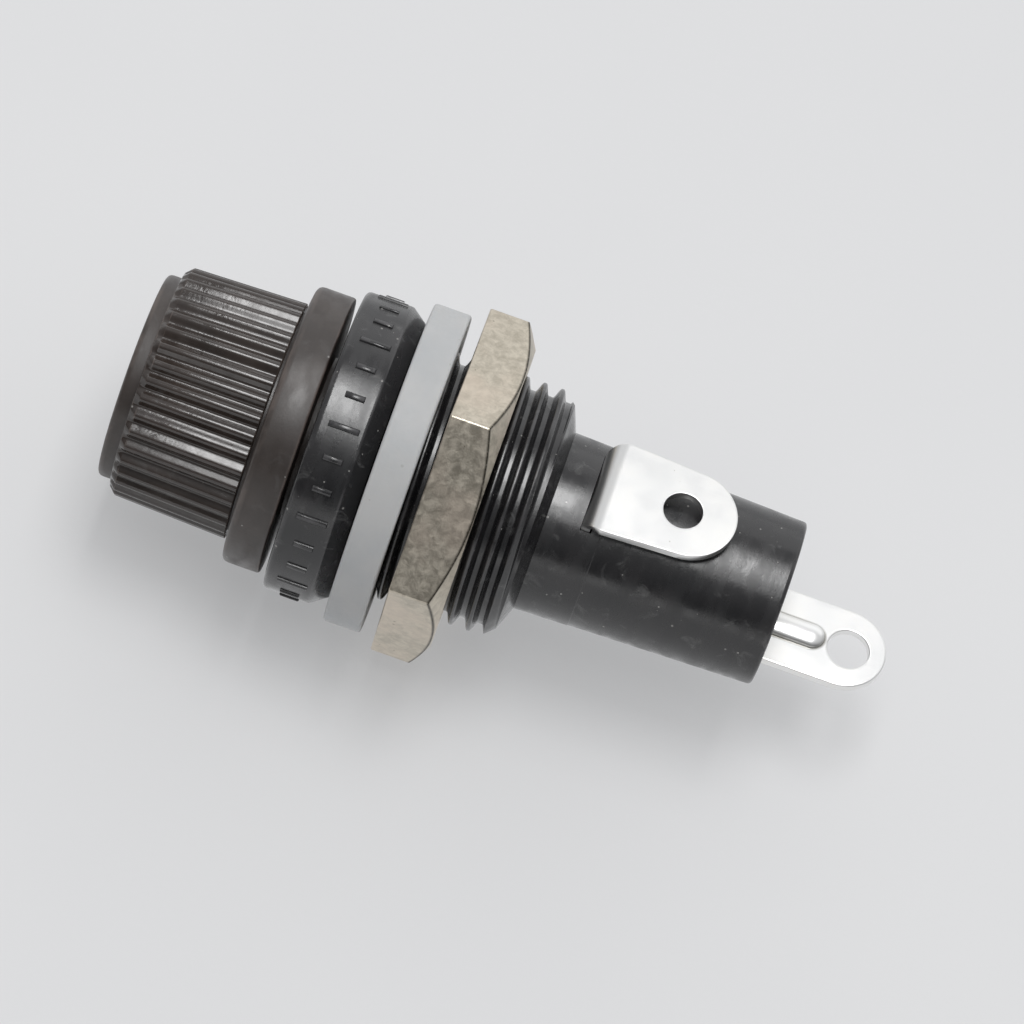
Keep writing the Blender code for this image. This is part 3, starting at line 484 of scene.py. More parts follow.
def moulding(name, dark, light, roughness, dust, smudged):
    """Black thermoset moulding: clouded, finely grained, smudged and a little dusty, and paler on its edges,
    which is wear and, on the panel thread's crests, also a painted highlight.

    dust is the share of cells with a speck in them, and smudged is how much the thickest smudge covers."""
    smudge_colour, dust_colour = (0.12, 0.12, 0.118), (0.36, 0.35, 0.33)
    wear_and_highlight_colour = tuple(3.0 * value + 0.03 for value in light)
    made = Finish(name, dark, roughness, IOR=1.65)
    cloud = made.noise(2.4, detail=5.0, roughness=0.65)
    grain = made.noise(0.16, detail=3.0)
    flow = made.noise(0.9, detail=4.0, stretch=(1.0, 2.5, 2.5))
    colour = made.mix(made.range(cloud, 0.35, 0.68), dark, light)
    # paler edges: wear, and on the thread's crests also a painted highlight
    wear_and_highlight = made.math("MULTIPLY", made.marked("edge"), made.range(flow, 0.42, 0.62, 0.05, 0.55))
    colour = made.mix(wear_and_highlight, colour, wear_and_highlight_colour)
    smears = made.noise(1.1, detail=5.0, roughness=0.62, distortion=0.8)
    colour = made.mix(made.range(smears, 0.56, 0.72, 0.0, smudged), colour, smudge_colour)
    colour = made.mix(made.math("MULTIPLY", made.specks(0.34, dust), 0.6), colour, dust_colour)
    made.colour(colour)
    rough = made.range(flow, 0.3, 0.7, roughness - 0.07, roughness + 0.12)
    made.rough(made.math("MULTIPLY_ADD", made.marked("handled"), -0.28, rough))
    made.bump((flow, 0.010), (grain, 0.004))
    return made.material


def plated_steel():
    """Dull yellowish plating, mottled and clouded, with dark spots and a painted shade along the chamfer's
    edge.
    """
    dull, bright, warm = (0.42, 0.38, 0.31), (0.65, 0.595, 0.50), (0.70, 0.60, 0.50)
    spot, chamfer_shade = (0.16, 0.14, 0.10), (0.045, 0.04, 0.03)
    made = Finish("plated_steel", (0.60, 0.55, 0.46), 0.32, metallic=1.0)
    mottle = made.noise(0.55, detail=6.0, roughness=0.72, distortion=0.4)
    cloud = made.noise(3.2, detail=3.0)
    fine = made.noise(0.12, detail=4.0)
    colour = made.mix(made.range(mottle, 0.32, 0.70), dull, bright)
    colour = made.mix(made.range(cloud, 0.42, 0.66, 0.0, 0.5), colour, warm)
    colour = made.mix(made.math("MULTIPLY", made.specks(0.42, 0.16), 0.55), colour, spot)
    # painted shade: a dark line along the chamfer's rounded edge, where the nut is shaded
    chamfer_shade_share = made.math("MULTIPLY", made.marked("chamfer_shade"), made.range(fine, 0.25, 0.5, 0.55, 0.95))
    colour = made.mix(chamfer_shade_share, colour, chamfer_shade)
    made.colour(colour)
    made.rough(made.range(mottle, 0.3, 0.72, 0.29, 0.44))
    made.bump((mottle, 0.020), (fine, 0.006))
    return made.material


def soft_ring():
    """Light grey soft plastic, faintly warm in patches, with a moulded grain and a few specks."""
    cool, warm, speck = (0.445, 0.455, 0.460), (0.492, 0.493, 0.490), (0.26, 0.25, 0.24)
    made = Finish("pale_rubber", (0.52, 0.55, 0.56), 0.5, IOR=1.48, Subsurface_Weight=0.35,
                  Subsurface_Radius=(0.0022, 0.0019, 0.0017))
    cloud = made.noise(4.0, detail=4.0)
    grain = made.noise(0.2, detail=3.0)
    colour = made.mix(made.range(cloud, 0.36, 0.66), cool, warm)
    colour = made.mix(made.math("MULTIPLY", made.specks(0.5, 0.12), 0.35), colour, speck)
    made.colour(colour)
    made.rough(made.range(grain, 0.3, 0.7, 0.42, 0.60))
    made.bump((cloud, 0.03), (grain, 0.006))
    return made.material


def rolled_strip(name, light, dark, roughness, crease_shade=None):
    """Bright metal strip with faint rolling marks along it, a darker tone in patches and a few specks.

    The last argument holds the rib's start, end and width, the height above which the line lies and the
    line's width, for a painted shade: a darker line round a pressed rib."""
    speck, crease_shade_colour = (0.30, 0.28, 0.22), (0.20, 0.19, 0.16)
    made = Finish(name, light, roughness, metallic=1.0)
    rolled = made.noise(0.10, detail=3.0, stretch=(22.0, 1.0, 1.0))
    cloud = made.noise(1.6, detail=2.0, roughness=0.5)
    fine = made.noise(0.09, detail=3.0)
    colour = made.mix(made.range(cloud, 0.36, 0.70, 0.0, 0.5), light, dark)
    colour = made.mix(made.math("MULTIPLY", made.specks(0.5, 0.10), 0.4), colour, speck)
    if crease_shade:
        # painted shade: a darker line round the pressed rib, where its crease is shaded
        line = made.math("MULTIPLY", made.crease_shade(*crease_shade), made.range(cloud, 0.3, 0.6, 0.55, 0.9))
        colour = made.mix(line, colour, crease_shade_colour)
    made.colour(colour)
    made.rough(made.range(cloud, 0.3, 0.7, roughness - 0.02, roughness + 0.03))
    made.bump((cloud, 0.004), (rolled, 0.0015), (fine, 0.001))
    return made.material


def paper_floor():
    """A plain pale floor with the faintest tooth. Seen directly or in a reflection, part of it glows evenly,
    so that shadows on it stay pale."""
    made = Finish("paper_floor", (0.75, 0.75, 0.76), 0.9, Specular_IOR_Level=0.15)
    tooth = made.noise(0.5, detail=4.0)
    cloud = made.noise(30.0, detail=2.0)
    made.colour(made.mix(made.range(cloud, 0.3, 0.7), (0.748, 0.748, 0.754), (0.766, 0.766, 0.769)))
    made.bump((tooth, 0.01))
    path = made.node("ShaderNodeLightPath").outputs
    reflected = made.math("MAXIMUM", path["Is Glossy Ray"], path["Is Transmission Ray"])
    share = made.math("MULTIPLY_ADD", path["Is Camera Ray"], FLOOR_GLOW_SEEN,
                      made.math("MULTIPLY", reflected, FLOOR_GLOW_REFLECTED))
    glow = made.node("ShaderNodeEmission")
    made.set(glow, "Color", (*FLOOR_GLOW, 1.0))
    blend = made.node("ShaderNodeMixShader")
    made.set(blend, 0, share)
    made.set(blend, 1, made.shader.outputs[0])
    made.set(blend, 2, glow.outputs[0])
    made.set(made.tree.nodes["Material Output"], "Surface", blend.outputs[0])
    return made.material


GRIP = moulding("grip_moulding", dark=(0.028, 0.0205, 0.017), light=(0.043, 0.0325, 0.0275),
                roughness=0.40, dust=0.05, smudged=0.15)
TAIL = moulding("tail_moulding", dark=(0.009, 0.009, 0.010), light=(0.016, 0.015, 0.016),
                roughness=0.23, dust=0.16, smudged=0.4)
STEEL = plated_steel()
RING = soft_ring()
TIN = rolled_strip("tinned_brass", light=(0.84, 0.84, 0.83), dark=(0.81, 0.80, 0.77), roughness=0.30)
# the end lug's finish adds painted shade in a line round its pressed bead
LUG_TIN = rolled_strip("tinned_lug", light=(0.93, 0.93, 0.92), dark=(0.89, 0.875, 0.84), roughness=0.30,
                       crease_shade=(BEAD_START, BEAD_END, BEAD_WIDTH, END_LOW.z + 0.8 * STRIP, 0.16))
BRASS = rolled_strip("bare_brass", light=(0.80, 0.62, 0.33), dark=(0.62, 0.45, 0.22), roughness=0.28)


def rib_turns():
    """Column angles that crowd where a rib's sides are steep."""
    half = np.array([0.0, 0.02, 0.05, 0.09, 0.14, 0.19, 0.24, 0.29, 0.34, 0.39, 0.44])
    one = np.concatenate((half, [0.5], 1.0 - half[:0:-1]))
    return (tau * (np.arange(RIB_COUNT)[:, None] + one[None, :]) / RIB_COUNT).ravel()


def cap_grip():
    """Collar, ribbed grip, relief groove and skirt, with the floor that the clip is riveted to."""
    turns = rib_turns()
    phase = (turns * RIB_COUNT / tau) % 1.0
    from_groove = np.minimum(phase, 1.0 - phase)
    rib = softened(np.clip((from_groove - GROOVE_FLOOR_END) / (RIB_TOP_START - GROOVE_FLOOR_END), 0.0, 1.0))
    front_top = GRIP_RADIUS - RIB_DRAFT
    relief = GRIP_RADIUS - RELIEF_DEPTH
    stub_end = SKIRT_REAR + SPIGOT_STUB

    def corner(x, low, high=None):
        """A corner for each column, at the low radius in a groove and at the high one on a rib."""
        r = low + ((low if high is None else high) - low) * rib
        return np.stack((np.full_like(r, x), r), -1)

    corners = np.stack((
        corner(CAP_LOW.x, 2 * AXIS_DISC),
        corner(CAP_LOW.x, COLLAR_RADIUS),
        corner(RIBS_FRONT, COLLAR_RADIUS),
        corner(RIBS_FRONT, front_top - RIB_DEPTH - 2 * POINTS_APART, front_top - RIB_CHAMFER),
        corner(RIBS_FRONT + RIB_CHAMFER, front_top - RIB_DEPTH, front_top),
        corner(RIBS_REAR, GRIP_RADIUS - RIB_DEPTH, GRIP_RADIUS),
        corner(RIBS_REAR, relief),
        corner(SKIRT_FRONT, relief),
        corner(SKIRT_FRONT, CAP_HIGH.y),
        corner(SKIRT_REAR, CAP_HIGH.y),
        corner(SKIRT_REAR, SPIGOT_NECK_RADIUS),
        corner(stub_end, SPIGOT_NECK_RADIUS),
        corner(stub_end, CAP_BORE),
        corner(CAP_FLOOR, CAP_BORE),
        corner(CAP_FLOOR, CLIP_SHANK)), -2)
    roundings = (0.0, 0.32, 0.06, 0.10, 0.16, 0.08, 0.03, 0.03, 0.42, 0.16, 0.05, 0.0, 0.0, 0.05, 0.0)
    profile, marks = rounded(corners, roundings, closed=False, steps=4)
    made = turned("cap_grip", profile, marks, turns, closed=False)
    along = profile[0, :, 0]
    ribbed = (along > RIBS_FRONT - POINTS_APART) & (along < RIBS_REAR + POINTS_APART)
    mark(made, "handled", np.tile(ribbed.astype(float), len(turns)))
    return place(made, "cap", GRIP, "screw_cap")


def cap_spigot():
    """The threaded tube behind the skirt, which starts with a plain neck."""
    turns = even_turns()
    start, end = SKIRT_REAR + SPIGOT_NECK, CAP_HIGH.x - SPIGOT_TIP
    thread = threaded(turns, start, end, SPIGOT_ROOT, SPIGOT_CREST, SPIGOT_PITCH, SKIRT_REAR,
                      run_out(CAP_HIGH.x, SPIGOT_LEAD, SPIGOT_ROOT, SPIGOT_CREST))
    tip = rounded([(CAP_HIGH.x, SPIGOT_TIP_RADIUS), (CAP_HIGH.x, CAP_BORE), (SKIRT_REAR, CAP_BORE),
                   (SKIRT_REAR, SPIGOT_NECK_RADIUS), (start - 2 * POINTS_APART, SPIGOT_NECK_RADIUS)],
                  (0.08, 0.1, 0.0, 0.0, 0.0), closed=False)
    profile, marks = joined(turns, (thread, None), tip)
    made = turned("cap_spigot", profile, marks, turns)
    return place(made, "cap", GRIP)


def body_front():
    """Flange, panel thread and shoulder outside, the cap's thread and the contact bore inside."""
    turns = even_turns()
    mouth = SPIGOT_CREST + 2 * THREAD_FIT
    flange = rounded([(BODY_LOW.x, mouth + MOUTH_CHAMFER), (BODY_LOW.x, FLANGE_RADIUS),
                      (FLANGE_CHAMFER_START, FLANGE_RADIUS), (0.0, FLANGE_REAR_RADIUS),
                      (0.0, PANEL_ROOT + 5 * POINTS_APART)],
                     (0.1, 0.34, 0.30, 0.12, 0.0), closed=False)
    outer = threaded(turns, POINTS_APART, PANEL_THREAD_END, PANEL_ROOT, PANEL_CREST, PANEL_PITCH, 0.0,
                     run_out(PANEL_THREAD_END, PANEL_THREAD_LEAD, PANEL_ROOT, PANEL_CREST))
    shoulder = np.array([(PANEL_THREAD_END + POINTS_APART, PANEL_ROOT), (SHOULDER_END, NECK_RADIUS),
                         (SHOULDER_END, BORE_RADIUS), (BORE_START, BORE_RADIUS)])
    inner = threaded(turns, BORE_START, BODY_LOW.x + MOUTH_CHAMFER, SPIGOT_ROOT + THREAD_FIT,
                     SPIGOT_CREST + THREAD_FIT, SPIGOT_PITCH, SKIRT_REAR, lambda x: np.full_like(x, mouth),
                     per_pitch=18)
    profile, marks = joined(turns, flange, (outer, None), (shoulder, None), (inner, None))
    made = turned("body_front", profile, marks, turns)
    x, r = profile[..., 0], profile[..., 1]
    on_thread = (x > 0.0) & (x < PANEL_THREAD_END) & (r > PANEL_ROOT)
    # paler thread crests: partly wear, partly a painted highlight on them
    crest = np.clip((r - PANEL_CREST + CREST_WEAR_AND_HIGHLIGHT) / CREST_WEAR_AND_HIGHLIGHT, 0.0, 1.0) * on_thread
    wear_and_highlight = np.maximum(crest, marks[None, :])
    made.data.attributes["edge"].data.foreach_set("value", wear_and_highlight.ravel())
    return place(made, "body", TAIL, "holder_body")


def flange_ticks():
    """Plain raised bars round the flange, every third one longer."""
    land = (BODY_LOW.x + TICK_MARGIN + FLANGE_CHAMFER_START) / 2
    low, high = FLANGE_RADIUS - TICK_ROOT_DEPTH, FLANGE_RADIUS + TICK_HEIGHT
    points, faces = [], []
    for tick in range(TICK_COUNT):
        middle = tau * (tick + 0.5) / TICK_COUNT
        half_length = TICK_LENGTH / 2 * (1.0 if tick % 3 == 0 else SHORT_TICK)
        first = len(points)
        for r, inset in ((low, 0.0), (high - TICK_SLOPE, 0.0), (high, TICK_SLOPE)):
            half_angle = (TICK_WIDTH / 2 - inset) / r
            for along, across in ((-1, -1), (1, -1), (1, 1), (-1, 1)):
                turn = middle + across * half_angle
                points.append((land + along * (half_length - inset), r * cos(turn), r * sin(turn)))
        for level in (first, first + 4):
            for k in range(4):
                on = (k + 1) % 4
                faces.append((level + k, level + on, level + 4 + on, level + 4 + k))
        faces += [(first, first + 3, first + 2, first + 1), (first + 8, first + 9, first + 10, first + 11)]
    made = mesh_object("flange_ticks", points, faces, np.tile([0.0] * 8 + [1.0] * 4, TICK_COUNT))
    return place(made, "body", TAIL)


def tail_radius(x):
    """The tail tapers from its neck to its end."""
    return NECK_RADIUS - TAIL_DRAFT * (x - SHOULDER_END) / (BODY_HIGH.x - SHOULDER_END)


def side_half_width():
    """Half the side lug's width, with which its upper corners stay clear of the nut's thread."""
    return sqrt(NUT_CLEARS ** 2 - SIDE_HIGH.z ** 2)


def body_tail():
    """Neck and tapered tail with a hollow end, a faint moulding step and the side terminal's slot."""
    step_at = SIDE_LOW.x + MOULDING_STEP_FROM_SLOT
    hollow = hypot((END_HIGH.y - END_LOW.y) / 2, END_LOW.z) + FOOT_EASE
    corners = [(SHOULDER_END, NECK_RADIUS), (step_at, tail_radius(step_at)),
               (step_at + MOULDING_STEP, tail_radius(step_at) - MOULDING_STEP),
               (BODY_HIGH.x, tail_radius(BODY_HIGH.x)),
               (BODY_HIGH.x, hollow), (FOOT_SEAT, hollow), (FOOT_SEAT, RIVET_SHANK),
               (TAIL_BORE_END, RIVET_SHANK), (TAIL_BORE_END, TAIL_BORE_RADIUS), (BORE_END, TAIL_BORE_RADIUS),
               (BORE_END, BORE_RADIUS), (SHOULDER_END, BORE_RADIUS)]
    profile, marks = rounded(corners, (0.0, 0.02, 0.02, 0.24, 0.12, 0.1, 0.0, 0.0, 0.1, 0.1, 0.0, 0.0))
    made = turned("body_tail", profile, marks)
    half = side_half_width() - TAB_INSET + SLOT_FIT
    within, beyond = TAIL_BORE_RADIUS - 1.2, NECK_RADIUS + 1.0
    slot = box("slot", (SIDE_LOW.x - SLOT_FIT, -half, within),
               (SIDE_LOW.x + STRIP + SLIDING_FIT, half, beyond))
    return place(combined(made, taken=[slot]), "body", TAIL)


def sealing_washer():
    """Soft ring with broken edges."""
    inside = PANEL_CREST + 0.15
    corners = [(WASHER_LOW.x, inside), (WASHER_LOW.x, WASHER_HIGH.y), (WASHER_HIGH.x, WASHER_HIGH.y),
               (WASHER_HIGH.x, inside)]
    profile, marks = rounded(corners, (0.1, 0.2, 0.2, 0.1))
    return place(turned("washer_ring", profile, marks), "washer", RING, "sealing_washer")


def nut_outline():
    """Angles and radii round the hexagon, whose corners are slightly rounded, and the radius of a flat."""
    flat = NUT_HIGH.y / cos(pi / 3 - NUT_CORNER) * cos(pi / 6)
    centre = (flat - NUT_EDGE_ROUNDING) / cos(pi / 6)
    half_flat = centre * sin(pi / 6)
    points = []
    for side in range(6):
        corner = NUT_CORNER + side * pi / 3
        for k in range(NUT_CORNER_STEPS + 1):
            a = corner - pi / 6 + pi / 3 * k / NUT_CORNER_STEPS
            points.append((centre * cos(corner) + NUT_EDGE_ROUNDING * cos(a),
                           centre * sin(corner) + NUT_EDGE_ROUNDING * sin(a)))
        middle = corner + pi / 6
        for k in range(1, NUT_FLAT_STEPS):
            along = half_flat * (2 * k / NUT_FLAT_STEPS - 1)
            points.append((flat * cos(middle) - along * sin(middle),
                           flat * sin(middle) + along * cos(middle)))
    points = np.array(points)
    return np.arctan2(points[:, 1], points[:, 0]), np.hypot(points[:, 0], points[:, 1]), flat


def hex_nut():
    """Hexagon nut, flat towards the panel and chamfered behind, so that each flat ends in an arc."""
    turns, outline, flat = nut_outline()
    rim = flat - NUT_CHAMFER_INSET
    wide = PANEL_CREST + THREAD_FIT + NUT_COUNTERSINK
    front, rear = NUT_LOW.x, NUT_HIGH.x

    def corner(x, r):
        """A corner for each column, with a place and a radius of its own."""
        return np.stack(np.broadcast_arrays(x, r + 0.0 * outline), -1)

    chamfer = rear - (outline - rim) * tan(NUT_CHAMFER_ANGLE)
    beyond = np.minimum(NUT_SHADE_BAND, 0.6 * (outline - rim))
    corners = np.stack((
        corner(front + NUT_COUNTERSINK, wide - NUT_COUNTERSINK),
        corner(front, wide),
        corner(front, outline),
        corner(chamfer - NUT_SHADE_BAND, outline),
        corner(chamfer, outline),
        corner(chamfer + beyond * tan(NUT_CHAMFER_ANGLE), outline - beyond),
        corner(rear, rim),
        corner(rear, wide),
        corner(rear - NUT_COUNTERSINK, wide - NUT_COUNTERSINK)), -2)
    outside, marks = rounded(corners, (0.0, 0.06, 0.12, 0.0, 0.05, 0.0, 0.04, 0.06, 0.0), closed=False)
    inside = threaded(turns, rear - NUT_COUNTERSINK, front + NUT_COUNTERSINK, PANEL_ROOT + THREAD_FIT,
                      PANEL_CREST + THREAD_FIT, PANEL_PITCH, 0.0, lambda x: np.full_like(x, wide))
    profile, marks = joined(turns, (outside, marks), (inside[:, 1:-1], None))
    made = turned("nut_hexagon", profile, marks, turns)
    # marks where the steel finish paints shade, along the chamfer's edge
    chamfer_edge = np.zeros(profile.shape[1])
    per_rounding = ROUNDING_STEPS + 1
    first = 2 + 2 * per_rounding    # two sharp corners and two rounded ones lie before it
    chamfer_edge[first:first + per_rounding] = 1.0
    mark(made, "chamfer_shade", np.tile(chamfer_edge, len(turns)))
    return place(made, "nut", STEEL, "hex_nut")


def fuse_clip():
    """Drawn tube, slit from its mouth into four fingers with a waist that pinches the fuse."""
    front, mouth, radius = CLIP_LOW.x, CLIP_HIGH.x, CLIP_HIGH.y
    waist, shank = mouth - CLIP_WAIST_FROM_MOUTH, CLIP_SHANK + CLIP_SHANK_FIT
    outer = [(front, radius), ((front + waist) / 2, radius), (waist, radius - CLIP_PINCH),
             (mouth - CLIP_LIP_LENGTH, radius - CLIP_LIP_FLARE), (mouth, radius)]
    inner = [(x, r - CLIP_SHEET) for x, r in outer[1:]]
    corners = ([(front, shank)] + outer + inner[::-1]
               + [(front + CLIP_SHEET, radius - CLIP_SHEET), (front + CLIP_SHEET, shank)])
    profile, marks = rounded(corners, (0.0, 0.4, 2.0, 1.2, 0.5, 0.06, 0.06, 0.5, 1.2, 2.0, 0.1, 0.0))
    made = turned("clip_tube", profile, marks, even_turns(INNER_COLUMNS))
    reach, half = radius + 1.0, CLIP_SLIT_WIDTH / 2
    slits = [box(f"slit_{k}", (mouth - CLIP_SLIT_LENGTH, -reach, -half), (mouth + 1.0, reach, half),
                 pi / 4 + k * pi / 2) for k in range(2)]
    return place(combined(made, taken=slits), "clip", BRASS, "fuse_clip")


def clip_rivet():
    """The rivet that holds the clip in the cap and lets it swivel."""
    low, high, head = CLIP_RIVET_LOW.x, CLIP_RIVET_HIGH.x, CLIP_RIVET_HIGH.y
    under_head = high - CLIP_RIVET_HEAD
    corners = [(high, AXIS_DISC), (high, head), (under_head, head), (under_head, CLIP_SHANK),
               (low, CLIP_SHANK), (low, AXIS_DISC)]
    profile, marks = rounded(corners, (0.0, 0.18, 0.03, 0.0, 0.05, 0.0), closed=False)
    made = turned("clip_rivet_turned", profile, marks, even_turns(60), closed=False)
    return place(made, "cap", BRASS, "clip_rivet")


def end_rivet():
    """The rivet through the tail's end, with a flat head within and a domed one outside."""
    low, high, inner_head = END_RIVET_LOW.x, END_RIVET_HIGH.x, END_RIVET_HIGH.y
    under_head = low + RIVET_INNER_HEAD
    rise = np.linspace(0.01, pi / 2, RIVET_DOME_STEPS + 1)    # angles, from just beside the axis
    dome = [(high - RIVET_DOME_HEIGHT * (1 - cos(a)), RIVET_DOME_RADIUS * sin(a)) for a in rise]
    stem = [(high - RIVET_DOME_HEIGHT, RIVET_SHANK), (under_head, RIVET_SHANK), (under_head, inner_head),
            (low, inner_head), (low, AXIS_DISC)]
    roundings = [0.0] * RIVET_DOME_STEPS + [0.06, 0.0, 0.0, 0.05, 0.12, 0.0]
    profile, marks = rounded(dome + stem, roundings, closed=False)
    made = turned("end_rivet_turned", profile, marks, even_turns(72), closed=False)
    return place(made, "body", TIN, "end_rivet")


def contact_sleeve():
    """The tube in which the clip's mouth slides, with a rim on the side terminal's ring."""
    low, high, rim = SLEEVE_LOW.x, SLEEVE_HIGH.x, SLEEVE_HIGH.y
    tube, rim_start = rim - SLEEVE_SHEET, high - SLEEVE_SHEET
    corners = [(low, CAP_BORE + SLEEVE_LEAD_DEPTH), (low, tube), (rim_start, tube), (rim_start, rim),
               (high, rim), (high, CAP_BORE), (low + SLEEVE_LEAD_LENGTH, CAP_BORE)]
    profile, marks = rounded(corners, (0.05, 0.08, 0.05, 0.08, 0.08, 0.05, 0.0))
    made = turned("sleeve_tube", profile, marks, even_turns(INNER_COLUMNS))
    return place(made, "body", BRASS, "contact_sleeve")


def contact_plunger():
    """The cup that meets the fuse's rear end."""
    low, high, radius = PLUNGER_LOW.x, PLUNGER_HIGH.x, PLUNGER_HIGH.y
    inside, floor_at = radius - PLUNGER_SHEET, low + PLUNGER_SHEET
    corners = [(low, AXIS_DISC), (low, radius), (high, radius), (high, inside), (floor_at, inside),
               (floor_at, AXIS_DISC)]
    profile, marks = rounded(corners, (0.0, 0.3, 0.08, 0.08, 0.15, 0.0), closed=False)
    made = turned("plunger_cup", profile, marks, even_turns(INNER_COLUMNS), closed=False)
    return place(made, "plunger", TIN, "contact_plunger")


def contact_spring():
    """The spring behind the plunger, at the imported spring's length; the real one shortens as the plunger is
    pressed.
    """
    wire, length, open_count = SPRING_WIRE, SPRING_HIGH.x - SPRING_LOW.x, SPRING_TURNS - 2
    open_pitch = (length - 2 * wire - 2 * SPRING_CLOSED_PITCH) / open_count
    turn = np.linspace(0.0, SPRING_TURNS, SPRING_TURNS * SPRING_STEPS + 1)
    open_turns = np.clip(turn - 1, 0, open_count)
    along = SPRING_LOW.x + wire + SPRING_CLOSED_PITCH * (turn - open_turns) + open_pitch * open_turns
    sides = even_turns(SPRING_SIDES)
    out = SPRING_COIL + wire * np.cos(sides)[None, :]
    loops = np.stack((along[:, None] + wire * np.sin(sides)[None, :],
                      out * np.cos(tau * turn)[:, None], out * np.sin(tau * turn)[:, None]), -1)
    spring = place(skinned("spring_wire", loops), "plunger", STEEL, "contact_spring")
    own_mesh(spring)


def arc(middle, radius, start, end, steps):
    """Points from one angle to another round a centre on the X axis."""
    return [(middle + radius * cos(start + (end - start) * k / steps),
             radius * sin(start + (end - start) * k / steps)) for k in range(steps + 1)]


def hole(middle, radius, sides=HOLE_STEPS):
    """Points round a whole circle."""
    return arc(middle, radius, 0.0, tau - tau / sides, sides - 1)


def stamped(outline, holes):
    """Strip cut to an outline with holes, its edges slightly rounded. It lies from Z = 0 to its thickness."""
    bm = bmesh.new()
    steep, level = radians(60.0), 0.999
    for loop in (outline, *holes):
        corners = [bm.verts.new((x, y, 0.0)) for x, y in loop]
        for k in range(len(corners)):
            bm.edges.new((corners[k - 1], corners[k]))
    bmesh.ops.triangle_fill(bm, edges=bm.edges[:], use_beauty=True)
    raised = bmesh.ops.extrude_face_region(bm, geom=bm.faces[:])["geom"]
    corners = [made for made in raised if isinstance(made, bmesh.types.BMVert)]
    bmesh.ops.translate(bm, vec=(0.0, 0.0, STRIP), verts=corners)
    bmesh.ops.recalc_face_normals(bm, faces=bm.faces[:])
    rims = [edge for edge in bm.edges if edge.calc_face_angle(0.0) > steep
            and abs(edge.verts[0].co.z - edge.verts[1].co.z) < STRIP / 2]
    bmesh.ops.bevel(bm, geom=rims, offset=STAMPED_EDGE, segments=3, profile=0.5, affect="EDGES",
                    clamp_overlap=True)
    for side in (-1.0, 1.0):
        flat = [face for face in bm.faces if face.normal.z * side > level]
        bmesh.ops.inset_region(bm, faces=flat, thickness=FLAT_BORDER, use_boundary=True, use_even_offset=True)
    return bm


def bend_length(radius):
    """Length of a quarter turn along the middle of the strip; radius is the bend's inner one."""
    return (radius + STRIP / 2) * pi / 2


def bend_up(bm, start, radius, steps=BEND_STEPS):
    """Bends the strip beyond X = start by a quarter turn towards +Z."""
    length = bend_length(radius)
    for k in range(steps + 1):
        plane = start + length * k / steps
        bmesh.ops.bisect_plane(bm, geom=bm.verts[:] + bm.edges[:] + bm.faces[:],
                               plane_co=(plane, 0.0, 0.0), plane_no=(1.0, 0.0, 0.0))
    centre = STRIP + radius
    for vertex in bm.verts:
        past = vertex.co.x - start
        if past <= 0.0:
            continue
        turn = min(past / length, 1.0) * pi / 2
        out = centre - vertex.co.z
        vertex.co.x = start + out * sin(turn)
        vertex.co.z = centre - out * cos(turn) + max(past - length, 0.0)


def strip_object(name, bm, offset):
    """A mesh object from strip worked in millimetres."""
    bmesh.ops.translate(bm, vec=offset, verts=bm.verts[:])
    bmesh.ops.scale(bm, vec=(MM, MM, MM), verts=bm.verts[:])
    bmesh.ops.recalc_face_normals(bm, faces=bm.faces[:])
    mesh = bpy.data.meshes.new(name)
    bm.to_mesh(mesh)
    bm.free()
    return smooth_object(name, mesh)


def side_lug():
    """Ring in the bore, tab through the slot and solder lug along the tail."""
    half = side_half_width()
    tab = half - TAB_INSET
    start = SIDE_HIGH.z - STRIP - SIDE_BEND_RADIUS
    bend = bend_length(SIDE_BEND_RADIUS)
    tip_radius = half - SIDE_TAPER / 2
    flat_length = start + bend + (SIDE_HIGH.x - SIDE_LOW.x) - STRIP - SIDE_BEND_RADIUS
    ring_radius = SIDE_HIGH.y
    leaves_ring = asin(tab / ring_radius)
    widening = [(start + bend * t, tab + TAB_INSET * eased(t)) for t in np.linspace(0.0, 1.0, 9)]
    outline = (arc(0.0, ring_radius, leaves_ring, tau - leaves_ring, RING_STEPS)
               + [(x, -y) for x, y in widening]
               + arc(flat_length - tip_radius, tip_radius, -pi / 2, pi / 2, LUG_END_STEPS) + widening[::-1])
    bm = stamped(outline, (hole(0.0, CAP_BORE), hole(flat_length - SIDE_HOLE_FROM_TIP, SIDE_HOLE_RADIUS)))
    bend_up(bm, start, SIDE_BEND_RADIUS)
    x_for_z = Matrix(((0, 0, 1, 0), (0, 1, 0, 0), (1, 0, 0, 0), (0, 0, 0, 1)))
    bm.transform(x_for_z)
    made = strip_object("side_lug", bm, (SIDE_LOW.x, 0.0, 0.0))
    return place(made, "body", TIN, "side_terminal")


def bead(name, length, width, height, floor_at, middle):
    """A pressed rib with round ends and a rounded top, which also reaches below the floor it stands on."""
    reach = (length - width) / 2
    levels = [(-1.0, 1.0)] + [(sin(a), cos(a)) for a in np.linspace(0.0, BEAD_ROUND, 9)]
    loops = []
    for level, share in levels:
        points = arc(0.0, width / 2 * share, -pi / 2, pi / 2, 20)
        loop = [(middle + reach + x, y) for x, y in points] + [(middle - reach - x, -y) for x, y in points]
        loops.append([(x, y, floor_at + level * height) for x, y in loop])
    return skinned(name, loops)


